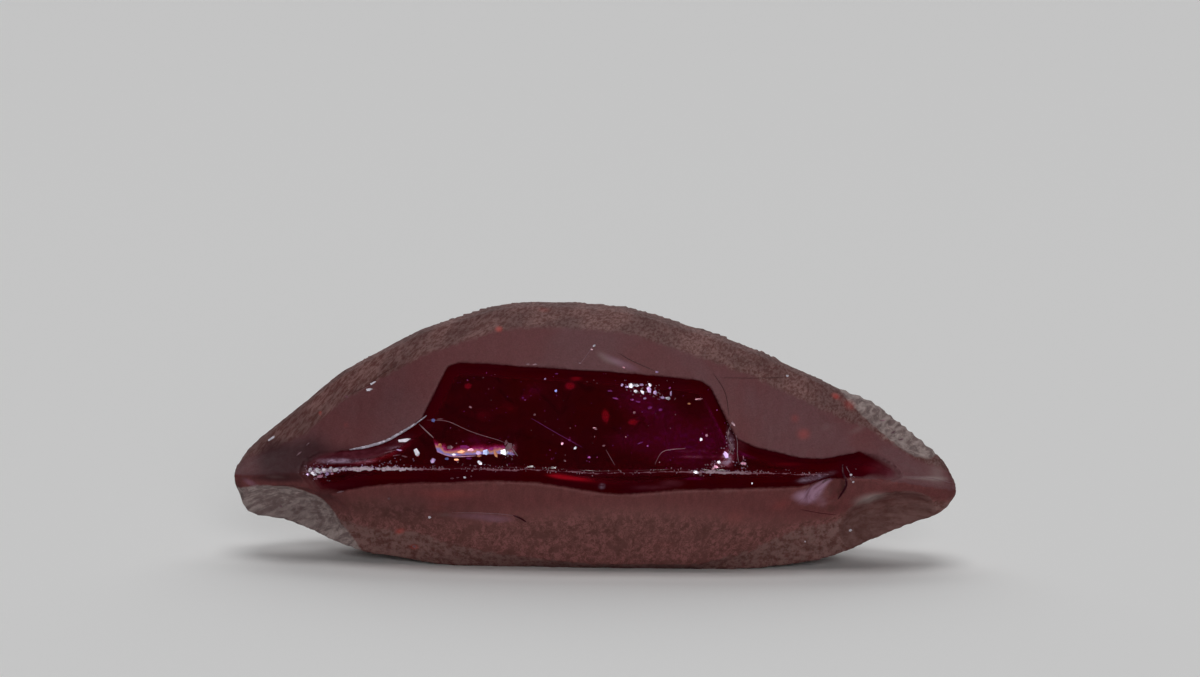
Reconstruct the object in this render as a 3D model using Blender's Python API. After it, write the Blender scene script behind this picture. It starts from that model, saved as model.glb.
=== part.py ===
"""A raw ruby crystal: one boat-shaped stone with a frosted skin and a bare, glassy zone along its front keel.

The stone stands on a small flat face. X runs along its length, +Y is its back and +Z is up. The origin is the
centre of the underside of its bounding box. Sizes below are in millimetres, and MM turns them into metres.
"""

import math

import bmesh
import bpy
import numpy as np
from mathutils import Euler, Vector

MM = 0.001

# Driving sizes of the stone
HALF_LENGTH = 11.0
STATIONS = 60
WORN = 0.16
WORN_SAMPLES = 9

# The crest and the underside seen from the front, as (x, z). Runs between the points are nearly straight.
CREST = [
    (-11.0, 2.72), (-10.68, 3.28), (-10.32, 3.62), (-8.87, 4.81), (-7.78, 5.75), (-6.69, 6.35), (-5.24, 7.14),
    (-4.51, 7.37), (-3.05, 7.85), (-2.32, 7.95), (-1.22, 7.97), (0.61, 7.87), (1.34, 7.72), (3.55, 7.05),
    (4.66, 6.66), (6.13, 5.99), (7.60, 5.33), (8.34, 5.09), (9.45, 4.25), (10.56, 3.34), (10.82, 3.00), (11.0, 2.50),
]
UNDERSIDE = [
    (-11.0, 2.48), (-10.86, 1.84), (-10.66, 1.44), (-10.29, 1.30), (-9.55, 1.23), (-8.82, 1.00), (-7.71, 0.56),
    (-6.98, 0.32), (-5.88, 0.20), (-4.60, 0.0), (4.80, 0.0), (6.21, 0.19), (6.94, 0.29), (7.67, 0.56),
    (8.76, 0.96), (9.85, 1.40), (10.58, 1.70), (10.85, 1.94), (11.0, 2.30),
]
KEEL = [
    (-11.0, 2.60), (-8.9, 2.87), (-6.9, 3.10), (-4.5, 3.20), (-1.8, 3.24), (0.0, 3.17), (2.4, 3.24), (5.3, 3.19),
    (7.4, 3.07), (9.4, 2.80), (11.0, 2.42),
]

# How far the rough rims reach in from the crest and from the underside, as (x, height)
CREST_RIM = [
    (-11.0, 0.03), (-10.0, 0.62), (-8.8, 0.95), (-6.6, 0.80), (-4.0, 0.70), (0.0, 0.66), (4.0, 0.75), (7.0, 0.80),
    (8.6, 0.85), (10.0, 0.62), (11.0, 0.03),
]
UNDER_RIM = [
    (-11.0, 0.01), (-9.5, 0.45), (-7.5, 0.85), (-5.3, 1.00), (-4.3, 0.78), (-3.4, 0.58), (-1.4, 0.34), (0.0, 0.24),
    (3.2, 0.24), (4.6, 0.66), (5.5, 0.98), (6.3, 1.20), (7.2, 1.18), (8.2, 1.02), (9.2, 0.85), (10.3, 0.50),
    (11.0, 0.01),
]

# The depths at the middle of the stone, front negative, and the share of them that is left along its length
KEEL_Y = -3.00
FACE_BULGE = 0.10
CREST_RIM_Y = -1.08
CREST_FRONT_Y = -0.42
CREST_BACK_Y = 0.62
SHOULDER_Y = 2.35
BACK_Y = 3.15
BACK_LOW_Y = 2.60
BASE_BACK_Y = 1.90
BASE_FRONT_Y = -1.32
UNDER_RIM_Y = -1.86
SHOULDER_SHARE = 0.74
BACK_SHARE = 0.40
BACK_LOW_SHARE = 0.10
CREST_DROP = 0.10
CREST_DROP_SHARE = 0.10
KEEL_LOWEST_SHARE = 0.35
KEEL_HIGHEST_SHARE = 0.65
FACE_LEFT_SHARE = 0.20
FRONT_DEPTH = [
    (-11.0, 0.20), (-10.8, 0.32), (-10.2, 0.43), (-9.0, 0.56), (-6.5, 0.78), (-4.6, 0.93), (0.0, 1.0), (4.2, 0.94),
    (6.8, 0.78), (9.2, 0.57), (10.3, 0.43), (10.8, 0.32), (11.0, 0.20),
]
BACK_DEPTH = [
    (-11.0, 0.16), (-10.7, 0.34), (-9.6, 0.54), (-7.0, 0.86), (-3.0, 1.0), (3.5, 0.98), (7.4, 0.80), (9.8, 0.50),
    (10.7, 0.32), (11.0, 0.16),
]

# The bare zone: a window where the skin is missing, with a tail along the keel on either side, as (x, z)
BARE_ZONE = [
    (-8.95, 2.87), (-8.85, 3.20), (-8.34, 3.47), (-7.47, 3.58), (-6.56, 3.81), (-6.06, 4.07), (-5.57, 4.38),
    (-5.24, 4.63), (-4.64, 5.86), (-4.49, 6.12), (-4.15, 6.25), (-3.17, 6.23), (0.33, 6.08), (2.41, 5.90),
    (3.11, 5.81), (3.42, 5.63), (3.82, 4.89), (4.21, 4.19), (4.76, 3.95), (5.37, 3.79), (6.11, 3.61),
    (6.85, 3.56), (7.41, 3.62), (7.98, 3.70), (8.60, 3.55), (9.01, 3.34), (9.34, 2.96), (8.73, 2.82),
    (8.24, 2.98), (7.77, 3.02), (6.85, 2.90), (6.12, 2.75), (3.83, 2.72), (2.44, 2.68), (1.41, 2.58),
    (0.71, 2.53), (0.02, 2.60), (-1.01, 2.76), (-1.71, 2.86), (-3.10, 2.89), (-5.30, 2.74), (-6.28, 2.64),
    (-7.00, 2.52), (-7.80, 2.30), (-8.37, 2.10),
]
SKIN_AT_KEEL = 0.20
SKIN_AT_RIM = 0.12
ZONE_FRONT_Y = -5.0
ZONE_BACK_Y = -0.10

# Flat breaks across the back, each a point on the plane and its outward direction
BACK_BREAKS = [
    ((0.0, 2.74, 3.4), (0.0, 1.0, 0.05)),
    ((-6.0, 1.93, 5.0), (-0.30, 0.82, 0.42)),
    ((6.4, 2.00, 4.4), (0.32, 0.88, 0.30)),
    ((1.5, 2.40, 1.1), (0.06, 0.80, -0.50)),
]
ON_PLANE = 1e-7

# Shell-shaped chips: centre, half sizes along the chip's own axes, and its turn in degrees
CHIPS = {
    "low_left_chip": ((-8.95, -1.86, 1.02), (2.60, 1.28, 1.45), (0.0, 6.0, -20.0)),
    "high_right_chip": ((9.35, -1.16, 4.60), (2.20, 1.14, 0.88), (0.0, 36.0, 12.0)),
    "low_right_chip": ((9.10, -2.12, 1.02), (2.40, 1.68, 1.56), (0.0, -6.0, 20.0)),
    "keel_chip": ((6.90, -2.20, 2.50), (0.72, 0.50, 0.50), (0.0, -38.0, 20.0)),
}
CHIP_SEGMENTS = 40
CHIP_RINGS = 20

RUBY_RED = (0.20, 0.012, 0.022, 1.0)
FROSTED_ROUGHNESS = 0.45
RUBY_IOR = 1.765


def clear_scene():
    for obj in list(bpy.data.objects):
        bpy.data.objects.remove(obj)


def along(stops, x):
    """The value at x between the stops, with each corner worn round."""
    places = x + np.linspace(-WORN, WORN, WORN_SAMPLES)
    xs, values = zip(*stops)
    return float(np.interp(places, xs, values).mean())


def section(x, skin_off):
    """The stone's outline across its length at x, as (y, z) points from the keel upwards. skin_off leaves out the
    skin of the front faces."""
    top, bottom, keel_z = along(CREST, x), along(UNDERSIDE, x), along(KEEL, x)
    front, back = along(FRONT_DEPTH, x), along(BACK_DEPTH, x)
    height = top - bottom
    keel_y = KEEL_Y * front + (SKIN_AT_KEEL if skin_off else 0.0)
    rim_y = CREST_RIM_Y * front + (SKIN_AT_RIM if skin_off else 0.0)
    under_y = UNDER_RIM_Y * front + (SKIN_AT_RIM if skin_off else 0.0)
    keel_z = min(max(keel_z, bottom + KEEL_LOWEST_SHARE * height), bottom + KEEL_HIGHEST_SHARE * height)
    rim_z = max(top - along(CREST_RIM, x), keel_z + FACE_LEFT_SHARE * (top - keel_z))
    under_z = min(bottom + along(UNDER_RIM, x), keel_z - FACE_LEFT_SHARE * (keel_z - bottom))
    drop = min(CREST_DROP, CREST_DROP_SHARE * height)
    bulge = 0.0 if skin_off else FACE_BULGE * front
    return [
        (keel_y, keel_z),
        ((keel_y + rim_y) / 2 - bulge, (keel_z + rim_z) / 2),
        (rim_y, rim_z),
        (CREST_FRONT_Y * front, top - drop),
        (0.0, top),
        (CREST_BACK_Y * back, top - drop),
        (SHOULDER_Y * back, bottom + SHOULDER_SHARE * height),
        (BACK_Y * back, bottom + BACK_SHARE * height),
        (BACK_LOW_Y * back, bottom + BACK_LOW_SHARE * height),
        (BASE_BACK_Y * back, bottom),
        (BASE_FRONT_Y * front, bottom),
        (under_y, under_z),
        ((keel_y + under_y) / 2 - bulge, (keel_z + under_z) / 2),
    ]


def ruby_material():
    material = bpy.data.materials.new("ruby")
    material.use_nodes = True
    shader = material.node_tree.nodes["Principled BSDF"]
    shader.inputs["Base Color"].default_value = RUBY_RED
    shader.inputs["Roughness"].default_value = FROSTED_ROUGHNESS
    shader.inputs["IOR"].default_value = RUBY_IOR
    material.diffuse_color = RUBY_RED
    return material


def face_outwards(bm):
    bmesh.ops.recalc_face_normals(bm, faces=bm.faces[:])
    if bm.calc_volume(signed=True) < 0.0:
        bmesh.ops.reverse_faces(bm, faces=bm.faces[:])


def object_of(name, bm):
    """Finishes a closed bmesh as an object."""
    face_outwards(bm)
    mesh = bpy.data.meshes.new(name)
    bm.to_mesh(mesh)
    bm.free()
    obj = bpy.data.objects.new(name, mesh)
    bpy.context.scene.collection.objects.link(obj)
    return obj


def hull(name, skin_off=False):
    """The whole stone before its breaks: sections joined from end to end, closer together near the ends."""
    bm = bmesh.new()
    rings = []
    for i in range(STATIONS):
        x = -HALF_LENGTH * math.cos(math.pi * i / (STATIONS - 1))
        rings.append([bm.verts.new(Vector((x, y, z)) * MM) for y, z in section(x, skin_off)])
    for before, after in zip(rings, rings[1:]):
        for i in range(len(before)):
            j = (i + 1) % len(before)
            bm.faces.new((before[i], before[j], after[j], after[i]))
    bm.faces.new(rings[0])
    bm.faces.new(rings[-1])
    bmesh.ops.triangulate(bm, faces=[f for f in bm.faces if len(f.verts) > 4])
    return object_of(name, bm)


def break_flat(obj, point, direction):
    """Cuts off what lies beyond a plane and closes the cut with one flat face."""
    bm = bmesh.new()
    bm.from_mesh(obj.data)
    bmesh.ops.bisect_plane(
        bm, geom=bm.verts[:] + bm.edges[:] + bm.faces[:], dist=ON_PLANE,
        plane_co=Vector(point) * MM, plane_no=Vector(direction).normalized(), clear_outer=True,
    )
    cut = bmesh.ops.holes_fill(bm, edges=[e for e in bm.edges if e.is_boundary], sides=0)
    bmesh.ops.triangulate(bm, faces=cut["faces"])
    face_outwards(bm)
    bm.to_mesh(obj.data)
    bm.free()


def helper(obj):
    """Marks an object as a cutter, which isn't part of the stone."""
    obj.hide_render = True
    obj.display_type = "WIRE"
    return obj


def subtract(obj, cutter):
    cut = obj.modifiers.new("Without " + cutter.name, "BOOLEAN")
    cut.operation = "DIFFERENCE"
    cut.solver = "EXACT"
    cut.object = cutter


def prism(name, outline, near_y, far_y):
    """A cutter with a flat outline in X and Z, from one depth to another."""
    bm = bmesh.new()
    near = [bm.verts.new(Vector((x, near_y, z)) * MM) for x, z in outline]
    far = [bm.verts.new(Vector((x, far_y, z)) * MM) for x, z in outline]
    for i in range(len(near)):
        j = (i + 1) % len(near)
        bm.faces.new((near[i], near[j], far[j], far[i]))
    bmesh.ops.triangulate(bm, faces=[bm.faces.new(near), bm.faces.new(far)])
    return helper(object_of(name, bm))


def chip_cutter(name, centre, half_sizes, turn):
    bm = bmesh.new()
    bmesh.ops.create_uvsphere(bm, u_segments=CHIP_SEGMENTS, v_segments=CHIP_RINGS, radius=1.0)
    spin = Euler([math.radians(a) for a in turn]).to_matrix()
    for vertex in bm.verts:
        stretched = Vector([c * s for c, s in zip(vertex.co, half_sizes)])
        vertex.co = (spin @ stretched + Vector(centre)) * MM
    return helper(object_of(name, bm))


def build_crystal():
    crystal = hull("ruby_crystal")
    for point, direction in BACK_BREAKS:
        break_flat(crystal, point, direction)
    bare_zone = prism("bare_zone", BARE_ZONE, ZONE_FRONT_Y, ZONE_BACK_Y)
    subtract(bare_zone, helper(hull("glassy_core", skin_off=True)))
    subtract(crystal, bare_zone)
    for name, (centre, half_sizes, turn) in CHIPS.items():
        subtract(crystal, chip_cutter(name, centre, half_sizes, turn))
    crystal.data.materials.append(ruby_material())
    return crystal


clear_scene()
build_crystal()
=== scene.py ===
"""The looks of a raw ruby crystal: frosted skin over clear dark red, with a bare, glassy zone on its keel.

The stone lies along X, its back is +Y and +Z is up. Sizes in this file are in millimetres unless a comment
or a property says otherwise, and MM turns them into metres. Places on the front of the stone are given as
(x, z), as it is seen from the front, and are carried onto the surface along Y.
"""

import math
from types import SimpleNamespace

import bmesh
import bpy
import numpy as np
from bpy.props import FloatProperty, FloatVectorProperty, IntProperty, PointerProperty
from mathutils import Euler, Matrix, Vector, noise
from mathutils.bvhtree import BVHTree


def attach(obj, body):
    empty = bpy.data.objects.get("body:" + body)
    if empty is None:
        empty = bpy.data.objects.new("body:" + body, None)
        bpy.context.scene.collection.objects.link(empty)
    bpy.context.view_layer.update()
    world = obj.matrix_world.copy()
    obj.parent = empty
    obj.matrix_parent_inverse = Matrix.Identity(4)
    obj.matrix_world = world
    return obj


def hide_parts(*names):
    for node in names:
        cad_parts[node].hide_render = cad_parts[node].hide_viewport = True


bl_info = {
    "name": "Raw Ruby Crystal",
    "version": (1, 0, 0),
    "blender": (4, 5, 0),
    "location": "View3D > Sidebar > Ruby",
    "description": "Builds a rough ruby with its frosted skin, glassy zone, chips, glints and hairlines",
    "category": "Add Mesh",
}

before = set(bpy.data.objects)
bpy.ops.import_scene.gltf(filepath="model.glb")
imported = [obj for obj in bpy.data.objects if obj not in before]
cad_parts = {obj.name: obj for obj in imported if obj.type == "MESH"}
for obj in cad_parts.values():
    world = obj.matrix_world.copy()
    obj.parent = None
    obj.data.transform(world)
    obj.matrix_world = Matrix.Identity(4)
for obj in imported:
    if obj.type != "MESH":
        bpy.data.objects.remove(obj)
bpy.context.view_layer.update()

MM = 0.001
STONE = "ruby_crystal"

# Outlines of the stone from the front, as (x, z)
CREST = [
    (-11.0, 2.72), (-10.68, 3.28), (-10.32, 3.62), (-8.87, 4.81), (-7.78, 5.75), (-6.69, 6.35),
    (-5.24, 7.14), (-4.51, 7.37), (-3.05, 7.85), (-2.32, 7.95), (-1.22, 7.97), (0.61, 7.87), (1.34, 7.72),
    (3.55, 7.05), (4.66, 6.66), (6.13, 5.99), (7.60, 5.33), (8.34, 5.09), (9.45, 4.25), (10.56, 3.34),
    (10.82, 3.00), (11.0, 2.50),
]
UNDERSIDE = [
    (-11.0, 2.48), (-10.86, 1.84), (-10.66, 1.44), (-10.29, 1.30), (-9.55, 1.23), (-8.82, 1.00),
    (-7.71, 0.56), (-6.98, 0.32), (-5.88, 0.20), (-4.60, 0.0), (4.80, 0.0), (6.21, 0.19), (6.94, 0.29),
    (7.67, 0.56), (8.76, 0.96), (9.85, 1.40), (10.58, 1.70), (10.85, 1.94), (11.0, 2.30),
]
KEEL = [
    (-11.0, 2.60), (-8.9, 2.87), (-6.9, 3.10), (-4.5, 3.20), (-1.8, 3.24), (0.0, 3.17), (2.4, 3.24),
    (5.3, 3.19), (7.4, 3.07), (9.4, 2.80), (11.0, 2.42),
]
CREST_RIM = [
    (-11.0, 0.03), (-10.0, 0.62), (-8.8, 0.95), (-6.6, 0.80), (-4.0, 0.70), (0.0, 0.66), (4.0, 0.75),
    (7.0, 0.80), (8.6, 0.85), (10.0, 0.62), (11.0, 0.03),
]
UNDER_RIM = [
    (-11.0, 0.01), (-9.5, 0.45), (-7.5, 0.85), (-5.3, 1.00), (-4.3, 0.78), (-3.4, 0.58), (-1.4, 0.34),
    (0.0, 0.24), (3.2, 0.24), (4.6, 0.66), (5.5, 0.98), (6.3, 1.20), (7.2, 1.18), (8.2, 1.02),
    (9.2, 0.85), (10.3, 0.50), (11.0, 0.01),
]
BARE_ZONE = [
    (-8.95, 2.87), (-8.85, 3.20), (-8.34, 3.47), (-7.47, 3.58), (-6.56, 3.81), (-6.06, 4.07),
    (-5.57, 4.38), (-5.24, 4.63), (-4.64, 5.86), (-4.49, 6.12), (-4.15, 6.25), (-3.17, 6.23),
    (0.33, 6.08), (2.41, 5.90), (3.11, 5.81), (3.42, 5.63), (3.82, 4.89), (4.21, 4.19), (4.76, 3.95),
    (5.37, 3.79), (6.11, 3.61), (6.85, 3.56), (7.41, 3.62), (7.98, 3.70), (8.60, 3.55), (9.01, 3.34),
    (9.34, 2.96), (8.73, 2.82), (8.24, 2.98), (7.77, 3.02), (6.85, 2.90), (6.12, 2.75), (3.83, 2.72),
    (2.44, 2.68), (1.41, 2.58), (0.71, 2.53), (0.02, 2.60), (-1.01, 2.76), (-1.71, 2.86), (-3.10, 2.89),
    (-5.30, 2.74), (-6.28, 2.64), (-7.00, 2.52), (-7.80, 2.30), (-8.37, 2.10),
]

# Shell-shaped chips: centre, half sizes along the chip's own axes, and its turn in degrees
CHIPS = {
    "left_chip": ((-8.95, -1.86, 1.02), (2.60, 1.28, 1.45), (0.0, 6.0, -20.0)),
    "right_chip": ((9.35, -1.16, 4.60), (2.20, 1.14, 0.88), (0.0, 36.0, 12.0)),
    "low_chip": ((9.10, -2.12, 1.02), (2.40, 1.68, 1.56), (0.0, -6.0, 20.0)),
    "keel_chip": ((6.90, -2.20, 2.50), (0.72, 0.50, 0.50), (0.0, -38.0, 20.0)),
}
CHIP_BAND = 0.06

# The chips as they show from the front
LEFT_BREAK = [
    (-11.30, 2.10), (-10.64, 2.30), (-10.27, 2.40), (-9.93, 2.42), (-9.23, 2.37), (-8.67, 2.19),
    (-8.30, 2.03), (-8.02, 1.73), (-7.75, 1.30), (-7.50, 1.02), (-7.10, 0.44), (-7.00, -0.50),
    (-11.30, -0.50),
]
RIGHT_BREAK = [
    (7.30, 5.50), (7.62, 5.12), (8.02, 4.70), (8.42, 4.36), (9.00, 3.88), (9.37, 3.62), (9.70, 3.42),
    (10.20, 3.30), (10.90, 3.70), (9.60, 5.20), (8.20, 6.20),
]

# How softly the bare zone ends, along its length
EDGE_WIDTHS = [(-9.0, 0.60), (-8.4, 0.45), (-7.7, 0.08), (8.0, 0.08), (8.6, 0.30), (9.3, 0.50)]

# Soft patches in the skin: x, z, half width, half height, turn in degrees, strength
LILAC_BREAK = [
    (6.50, 2.46, 0.42, 0.26, 35, 1.0), (6.95, 2.86, 0.42, 0.13, 42, 0.9),
    (7.22, 3.12, 0.24, 0.08, 30, 0.6), (6.05, 2.50, 0.32, 0.20, 20, 0.4),
    (6.90, 2.15, 0.30, 0.22, 70, 0.35),
]
RED_GLOWS = [
    (-2.98, 7.24, 0.14, 0.10, 0, 0.8), (-1.63, 7.78, 0.30, 0.10, 0, 0.4),
    (-5.90, 1.10, 0.20, 0.12, 20, 0.7), (-5.48, 0.58, 0.18, 0.11, 0, 0.7),
    (-8.40, 4.53, 0.07, 0.08, 0, 0.7), (-7.57, 4.29, 0.14, 0.12, 0, 0.35),
    (6.26, 4.26, 0.30, 0.22, 0, 0.5), (6.00, 4.70, 0.22, 0.18, 0, 0.4),
    (7.27, 5.25, 0.16, 0.10, -25, 0.7), (7.70, 4.98, 0.30, 0.20, -30, 0.5),
    (-4.40, 2.45, 1.50, 0.25, 0, 0.35), (-4.80, 1.95, 0.60, 0.30, 0, 0.3),
    (4.20, 1.80, 0.60, 0.50, 0, 0.3), (5.60, 2.20, 0.50, 0.30, 20, 0.35),
    (2.10, 0.90, 0.9, 0.35, 0, 0.25),
]
BROWN_STAINS = [
    (-6.35, 5.88, 0.34, 0.10, 38, 1.0), (-6.80, 5.62, 0.30, 0.06, 30, 0.7),
    (-8.62, 4.30, 0.10, 0.34, -15, 0.8), (-9.10, 4.12, 0.16, 0.12, 0, 0.7),
    (4.34, 6.22, 0.20, 0.26, -35, 0.9), (-7.10, 1.95, 0.50, 0.26, 0, 0.9),
    (-6.20, 1.60, 0.60, 0.34, 0, 0.8), (0.60, 1.40, 1.40, 0.45, 0, 0.6), (3.00, 1.30, 1.10, 0.40, 0, 0.5),
    (-2.00, 1.20, 1.20, 0.30, 0, 0.5), (-2.28, 1.66, 0.12, 0.10, 0, 1.0),
    (6.60, 0.70, 0.40, 0.18, 0, 0.8), (8.80, 1.95, 0.60, 0.16, 12, 0.4),
    (7.42, 2.56, 0.16, 0.42, -14, 1.0), (7.10, 2.00, 0.34, 0.14, 0, 0.8),
    (4.90, 6.35, 0.40, 0.12, -28, 0.6), (6.90, 4.60, 0.24, 0.34, 30, 0.5),
]
# Painted shade: patches over the left end and the left of both faces, where the skin is painted darker and
# more plum
PAINTED_SHADE_PATCHES = [
    (-9.30, 3.10, 1.00, 0.50, 12, 1.0), (-8.60, 3.55, 0.50, 0.35, 30, 0.6),
    (-7.60, 3.62, 0.70, 0.16, 5, 0.4), (-9.60, 2.66, 1.20, 0.12, 3, 0.5),
    (-8.20, 2.25, 0.60, 0.30, -20, 0.4), (-6.60, 5.00, 2.40, 1.20, 35, 0.45),
    (-5.20, 1.90, 2.20, 0.60, 0, 0.58), (-9.30, 1.40, 2.20, 0.80, 0, 0.60),
    (-9.90, 3.30, 0.70, 0.50, 25, 0.6),
]
PALE_PATCHES = [
    (0.20, 6.50, 0.34, 0.14, -35, 0.45), (0.60, 6.36, 0.26, 0.10, -20, 0.45),
    (8.30, 2.30, 0.55, 0.22, 12, 0.8), (7.95, 4.30, 0.40, 0.12, 20, 0.35),
    (6.95, 4.42, 0.25, 0.16, 0, 0.30), (8.72, 4.48, 0.30, 0.06, 22, 1.2),
    (9.05, 4.14, 0.32, 0.06, 25, 1.2), (9.34, 3.90, 0.28, 0.05, 20, 1.0),
    (8.40, 4.70, 0.16, 0.05, 15, 0.8), (10.40, 2.95, 0.35, 0.45, 25, 0.40),
    (-4.55, 1.75, 0.40, 0.10, 0, 0.3), (9.90, 2.88, 0.80, 0.05, -8, 0.6),
    (-9.70, 2.70, 0.50, 0.10, 0, 0.3),
]
LILAC_PATCHES = [
    (-3.60, 1.74, 1.00, 0.14, 1, 0.40), (-2.90, 1.62, 0.60, 0.12, 3, 0.35),
    (-10.5, 2.45, 0.30, 0.12, -20, 0.5), (0.45, 6.42, 0.50, 0.12, -28, 0.35),
    (0.95, 6.26, 0.50, 0.13, -22, 0.40),
]

# Soft patches in the bare zone: hazy lilac veils, flashes of red and a purple cast
VEILS = [
    (-7.60, 3.26, 0.55, 0.09, 2, 0.70), (-8.15, 3.20, 0.28, 0.07, 5, 0.6),
    (-6.80, 3.30, 0.40, 0.07, 8, 0.5), (3.95, 3.62, 0.14, 0.22, 20, 1.0),
    (3.70, 3.45, 0.22, 0.10, 0, 0.8), (3.10, 3.66, 0.70, 0.05, 0, 0.5), (2.90, 3.82, 0.60, 0.05, 0, 0.4),
    (6.60, 3.02, 0.50, 0.10, 12, 0.8), (-2.50, 3.80, 0.10, 0.20, -30, 0.8),
    (-6.10, 3.72, 0.30, 0.05, 8, 0.5), (4.05, 4.10, 0.10, 0.40, 10, 0.6),
    (0.20, 2.76, 0.10, 0.10, 0, 0.5),
]
FLASHES = [
    (-3.88, 5.57, 0.10, 0.08, 0, 1.0), (-0.80, 5.64, 0.14, 0.10, 0, 1.0),
    (-0.62, 5.85, 0.20, 0.06, 0, 0.7), (0.28, 4.80, 0.10, 0.18, 10, 1.0),
    (1.10, 4.63, 0.14, 0.08, 0, 1.0), (-1.06, 3.06, 0.40, 0.08, -6, 1.0),
    (-0.46, 3.00, 0.40, 0.07, -4, 0.7), (-3.40, 4.75, 0.50, 0.25, 0, 0.25),
    (-2.60, 5.00, 0.40, 0.20, 0, 0.25), (5.70, 3.42, 0.90, 0.08, 0, 0.3),
    (-6.00, 2.84, 2.20, 0.12, 3, 0.2), (0.20, 2.92, 1.40, 0.16, 0, 0.25),
    (8.30, 3.22, 0.50, 0.20, 0, 0.25), (5.40, 2.92, 1.20, 0.10, 0, 0.2),
]
PURPLE_CAST = [
    (2.70, 4.00, 1.50, 0.70, 0, 1.0), (1.40, 5.15, 1.00, 0.45, -15, 0.9),
    (-1.90, 5.50, 0.40, 0.30, 0, 0.6), (-0.80, 4.10, 0.30, 0.16, 0, 0.6),
    (2.96, 3.00, 0.26, 0.08, 0, 1.0), (3.60, 5.00, 0.40, 0.60, 0, 0.4), (4.60, 3.75, 0.40, 0.16, 0, 0.5),
    (-3.60, 4.05, 0.50, 0.20, 0, 0.7), (0.90, 4.15, 0.70, 0.30, 0, 0.5),
    (-2.20, 5.27, 0.12, 0.08, 0, 1.0), (-3.90, 6.10, 0.30, 0.10, 0, 0.6),
]

# Plum haze over the two tails of the bare zone
PLUM_PATCHES = [
    (-8.40, 3.20, 0.45, 0.20, 15, 0.6), (-7.50, 3.42, 0.70, 0.15, 4, 0.9),
    (-6.60, 3.55, 0.60, 0.18, 8, 0.8), (-5.90, 3.90, 0.50, 0.22, 20, 0.6),
    (-8.50, 2.55, 0.40, 0.25, -10, 0.4), (-7.70, 2.50, 0.60, 0.12, 8, 0.3),
    (8.50, 3.20, 0.36, 0.22, -10, 0.5), (8.90, 3.05, 0.25, 0.16, -20, 0.6),
    (4.30, 4.10, 0.30, 0.40, 20, 0.6), (1.60, 2.72, 0.60, 0.10, 0, 0.6), (2.30, 2.88, 0.40, 0.12, 0, 0.8),
]

FRONT_PATCHES = {
    "veil": VEILS, "flash": FLASHES, "purple": PURPLE_CAST, "plum": PLUM_PATCHES,
    "lilac_break": LILAC_BREAK, "glow": RED_GLOWS, "brown": BROWN_STAINS, "painted_shade": PAINTED_SHADE_PATCHES,
    "pale": PALE_PATCHES, "lilac": LILAC_PATCHES,
}

# The thin split under the left of the bare zone, whose lower edge shows the colours of a thin film
SPLIT = [
    (-5.10, 4.50), (-4.47, 4.54), (-3.86, 4.28), (-3.39, 4.13), (-2.94, 4.03), (-2.51, 3.80),
    (-2.36, 3.62), (-2.75, 3.66), (-3.29, 3.64), (-3.89, 3.60), (-4.40, 3.55), (-4.77, 3.66),
]
SPLIT_FLOOR = [(-4.80, 3.68), (-4.40, 3.55), (-3.89, 3.60), (-3.29, 3.64), (-2.75, 3.66), (-2.36, 3.62)]

# Colours of the film above the split's lower edge, as (height, colour)
FILM_COLOURS = [
    (-0.10, (0.90, 0.75, 0.85)), (-0.02, (0.85, 0.45, 0.70)), (0.05, (0.30, 0.30, 0.85)),
    (0.12, (0.85, 0.34, 0.22)), (0.20, (0.55, 0.06, 0.36)), (0.30, (0.16, 0.01, 0.07)),
]

# How much of the keel is crushed white, along its length
KEEL_CRUSHED = [
    (-8.95, 0.0), (-8.60, 0.9), (-7.80, 1.0), (-5.80, 0.95), (-5.20, 0.55), (-4.20, 0.36), (-2.80, 0.48),
    (-1.40, 0.42), (0.0, 0.30), (2.40, 0.32), (3.40, 0.75), (4.40, 0.65), (5.00, 0.42), (6.40, 0.40),
    (7.20, 0.0),
]

# Loose patches of crushed grains, as soft ovals
GRIT_PATCHES = [
    (-8.40, 2.88, 0.26, 0.14, -10, 1.2), (-7.90, 3.00, 0.20, 0.08, 0, 0.8),
    (3.65, 3.42, 0.34, 0.12, 15, 0.9), (4.02, 3.90, 0.14, 0.45, 8, 0.5),
    (3.05, 3.24, 0.20, 0.06, -10, 0.8), (-2.60, 3.72, 0.16, 0.14, 0, 0.7),
    (-3.60, 3.34, 0.40, 0.05, 0, 0.5), (4.42, 3.40, 0.12, 0.14, 0, 0.9),
    (-6.10, 3.30, 0.50, 0.05, 6, 0.5), (7.70, 2.95, 0.06, 0.20, -10, 0.5),
    (1.50, 5.55, 0.55, 0.14, -12, 0.35),
]

TINTS = {
    "white": (0.90, 0.84, 0.95), "lilac": (0.62, 0.40, 0.74), "pink": (0.80, 0.36, 0.52),
    "purple": (0.24, 0.02, 0.20), "blue": (0.26, 0.28, 0.75), "sky": (0.55, 0.62, 1.00),
    "orange": (0.75, 0.28, 0.14), "rose": (0.34, 0.14, 0.18), "dark": (0.055, 0.018, 0.018),
    "wine": (0.060, 0.004, 0.012), "haze": (0.30, 0.17, 0.20), "magenta": (0.42, 0.03, 0.26),
    "mist": (0.56, 0.50, 0.60),
}
# Flakes in these tints face the front light
GLINTING = {"white", "mist", "lilac", "pink", "blue", "sky", "orange"}

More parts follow.
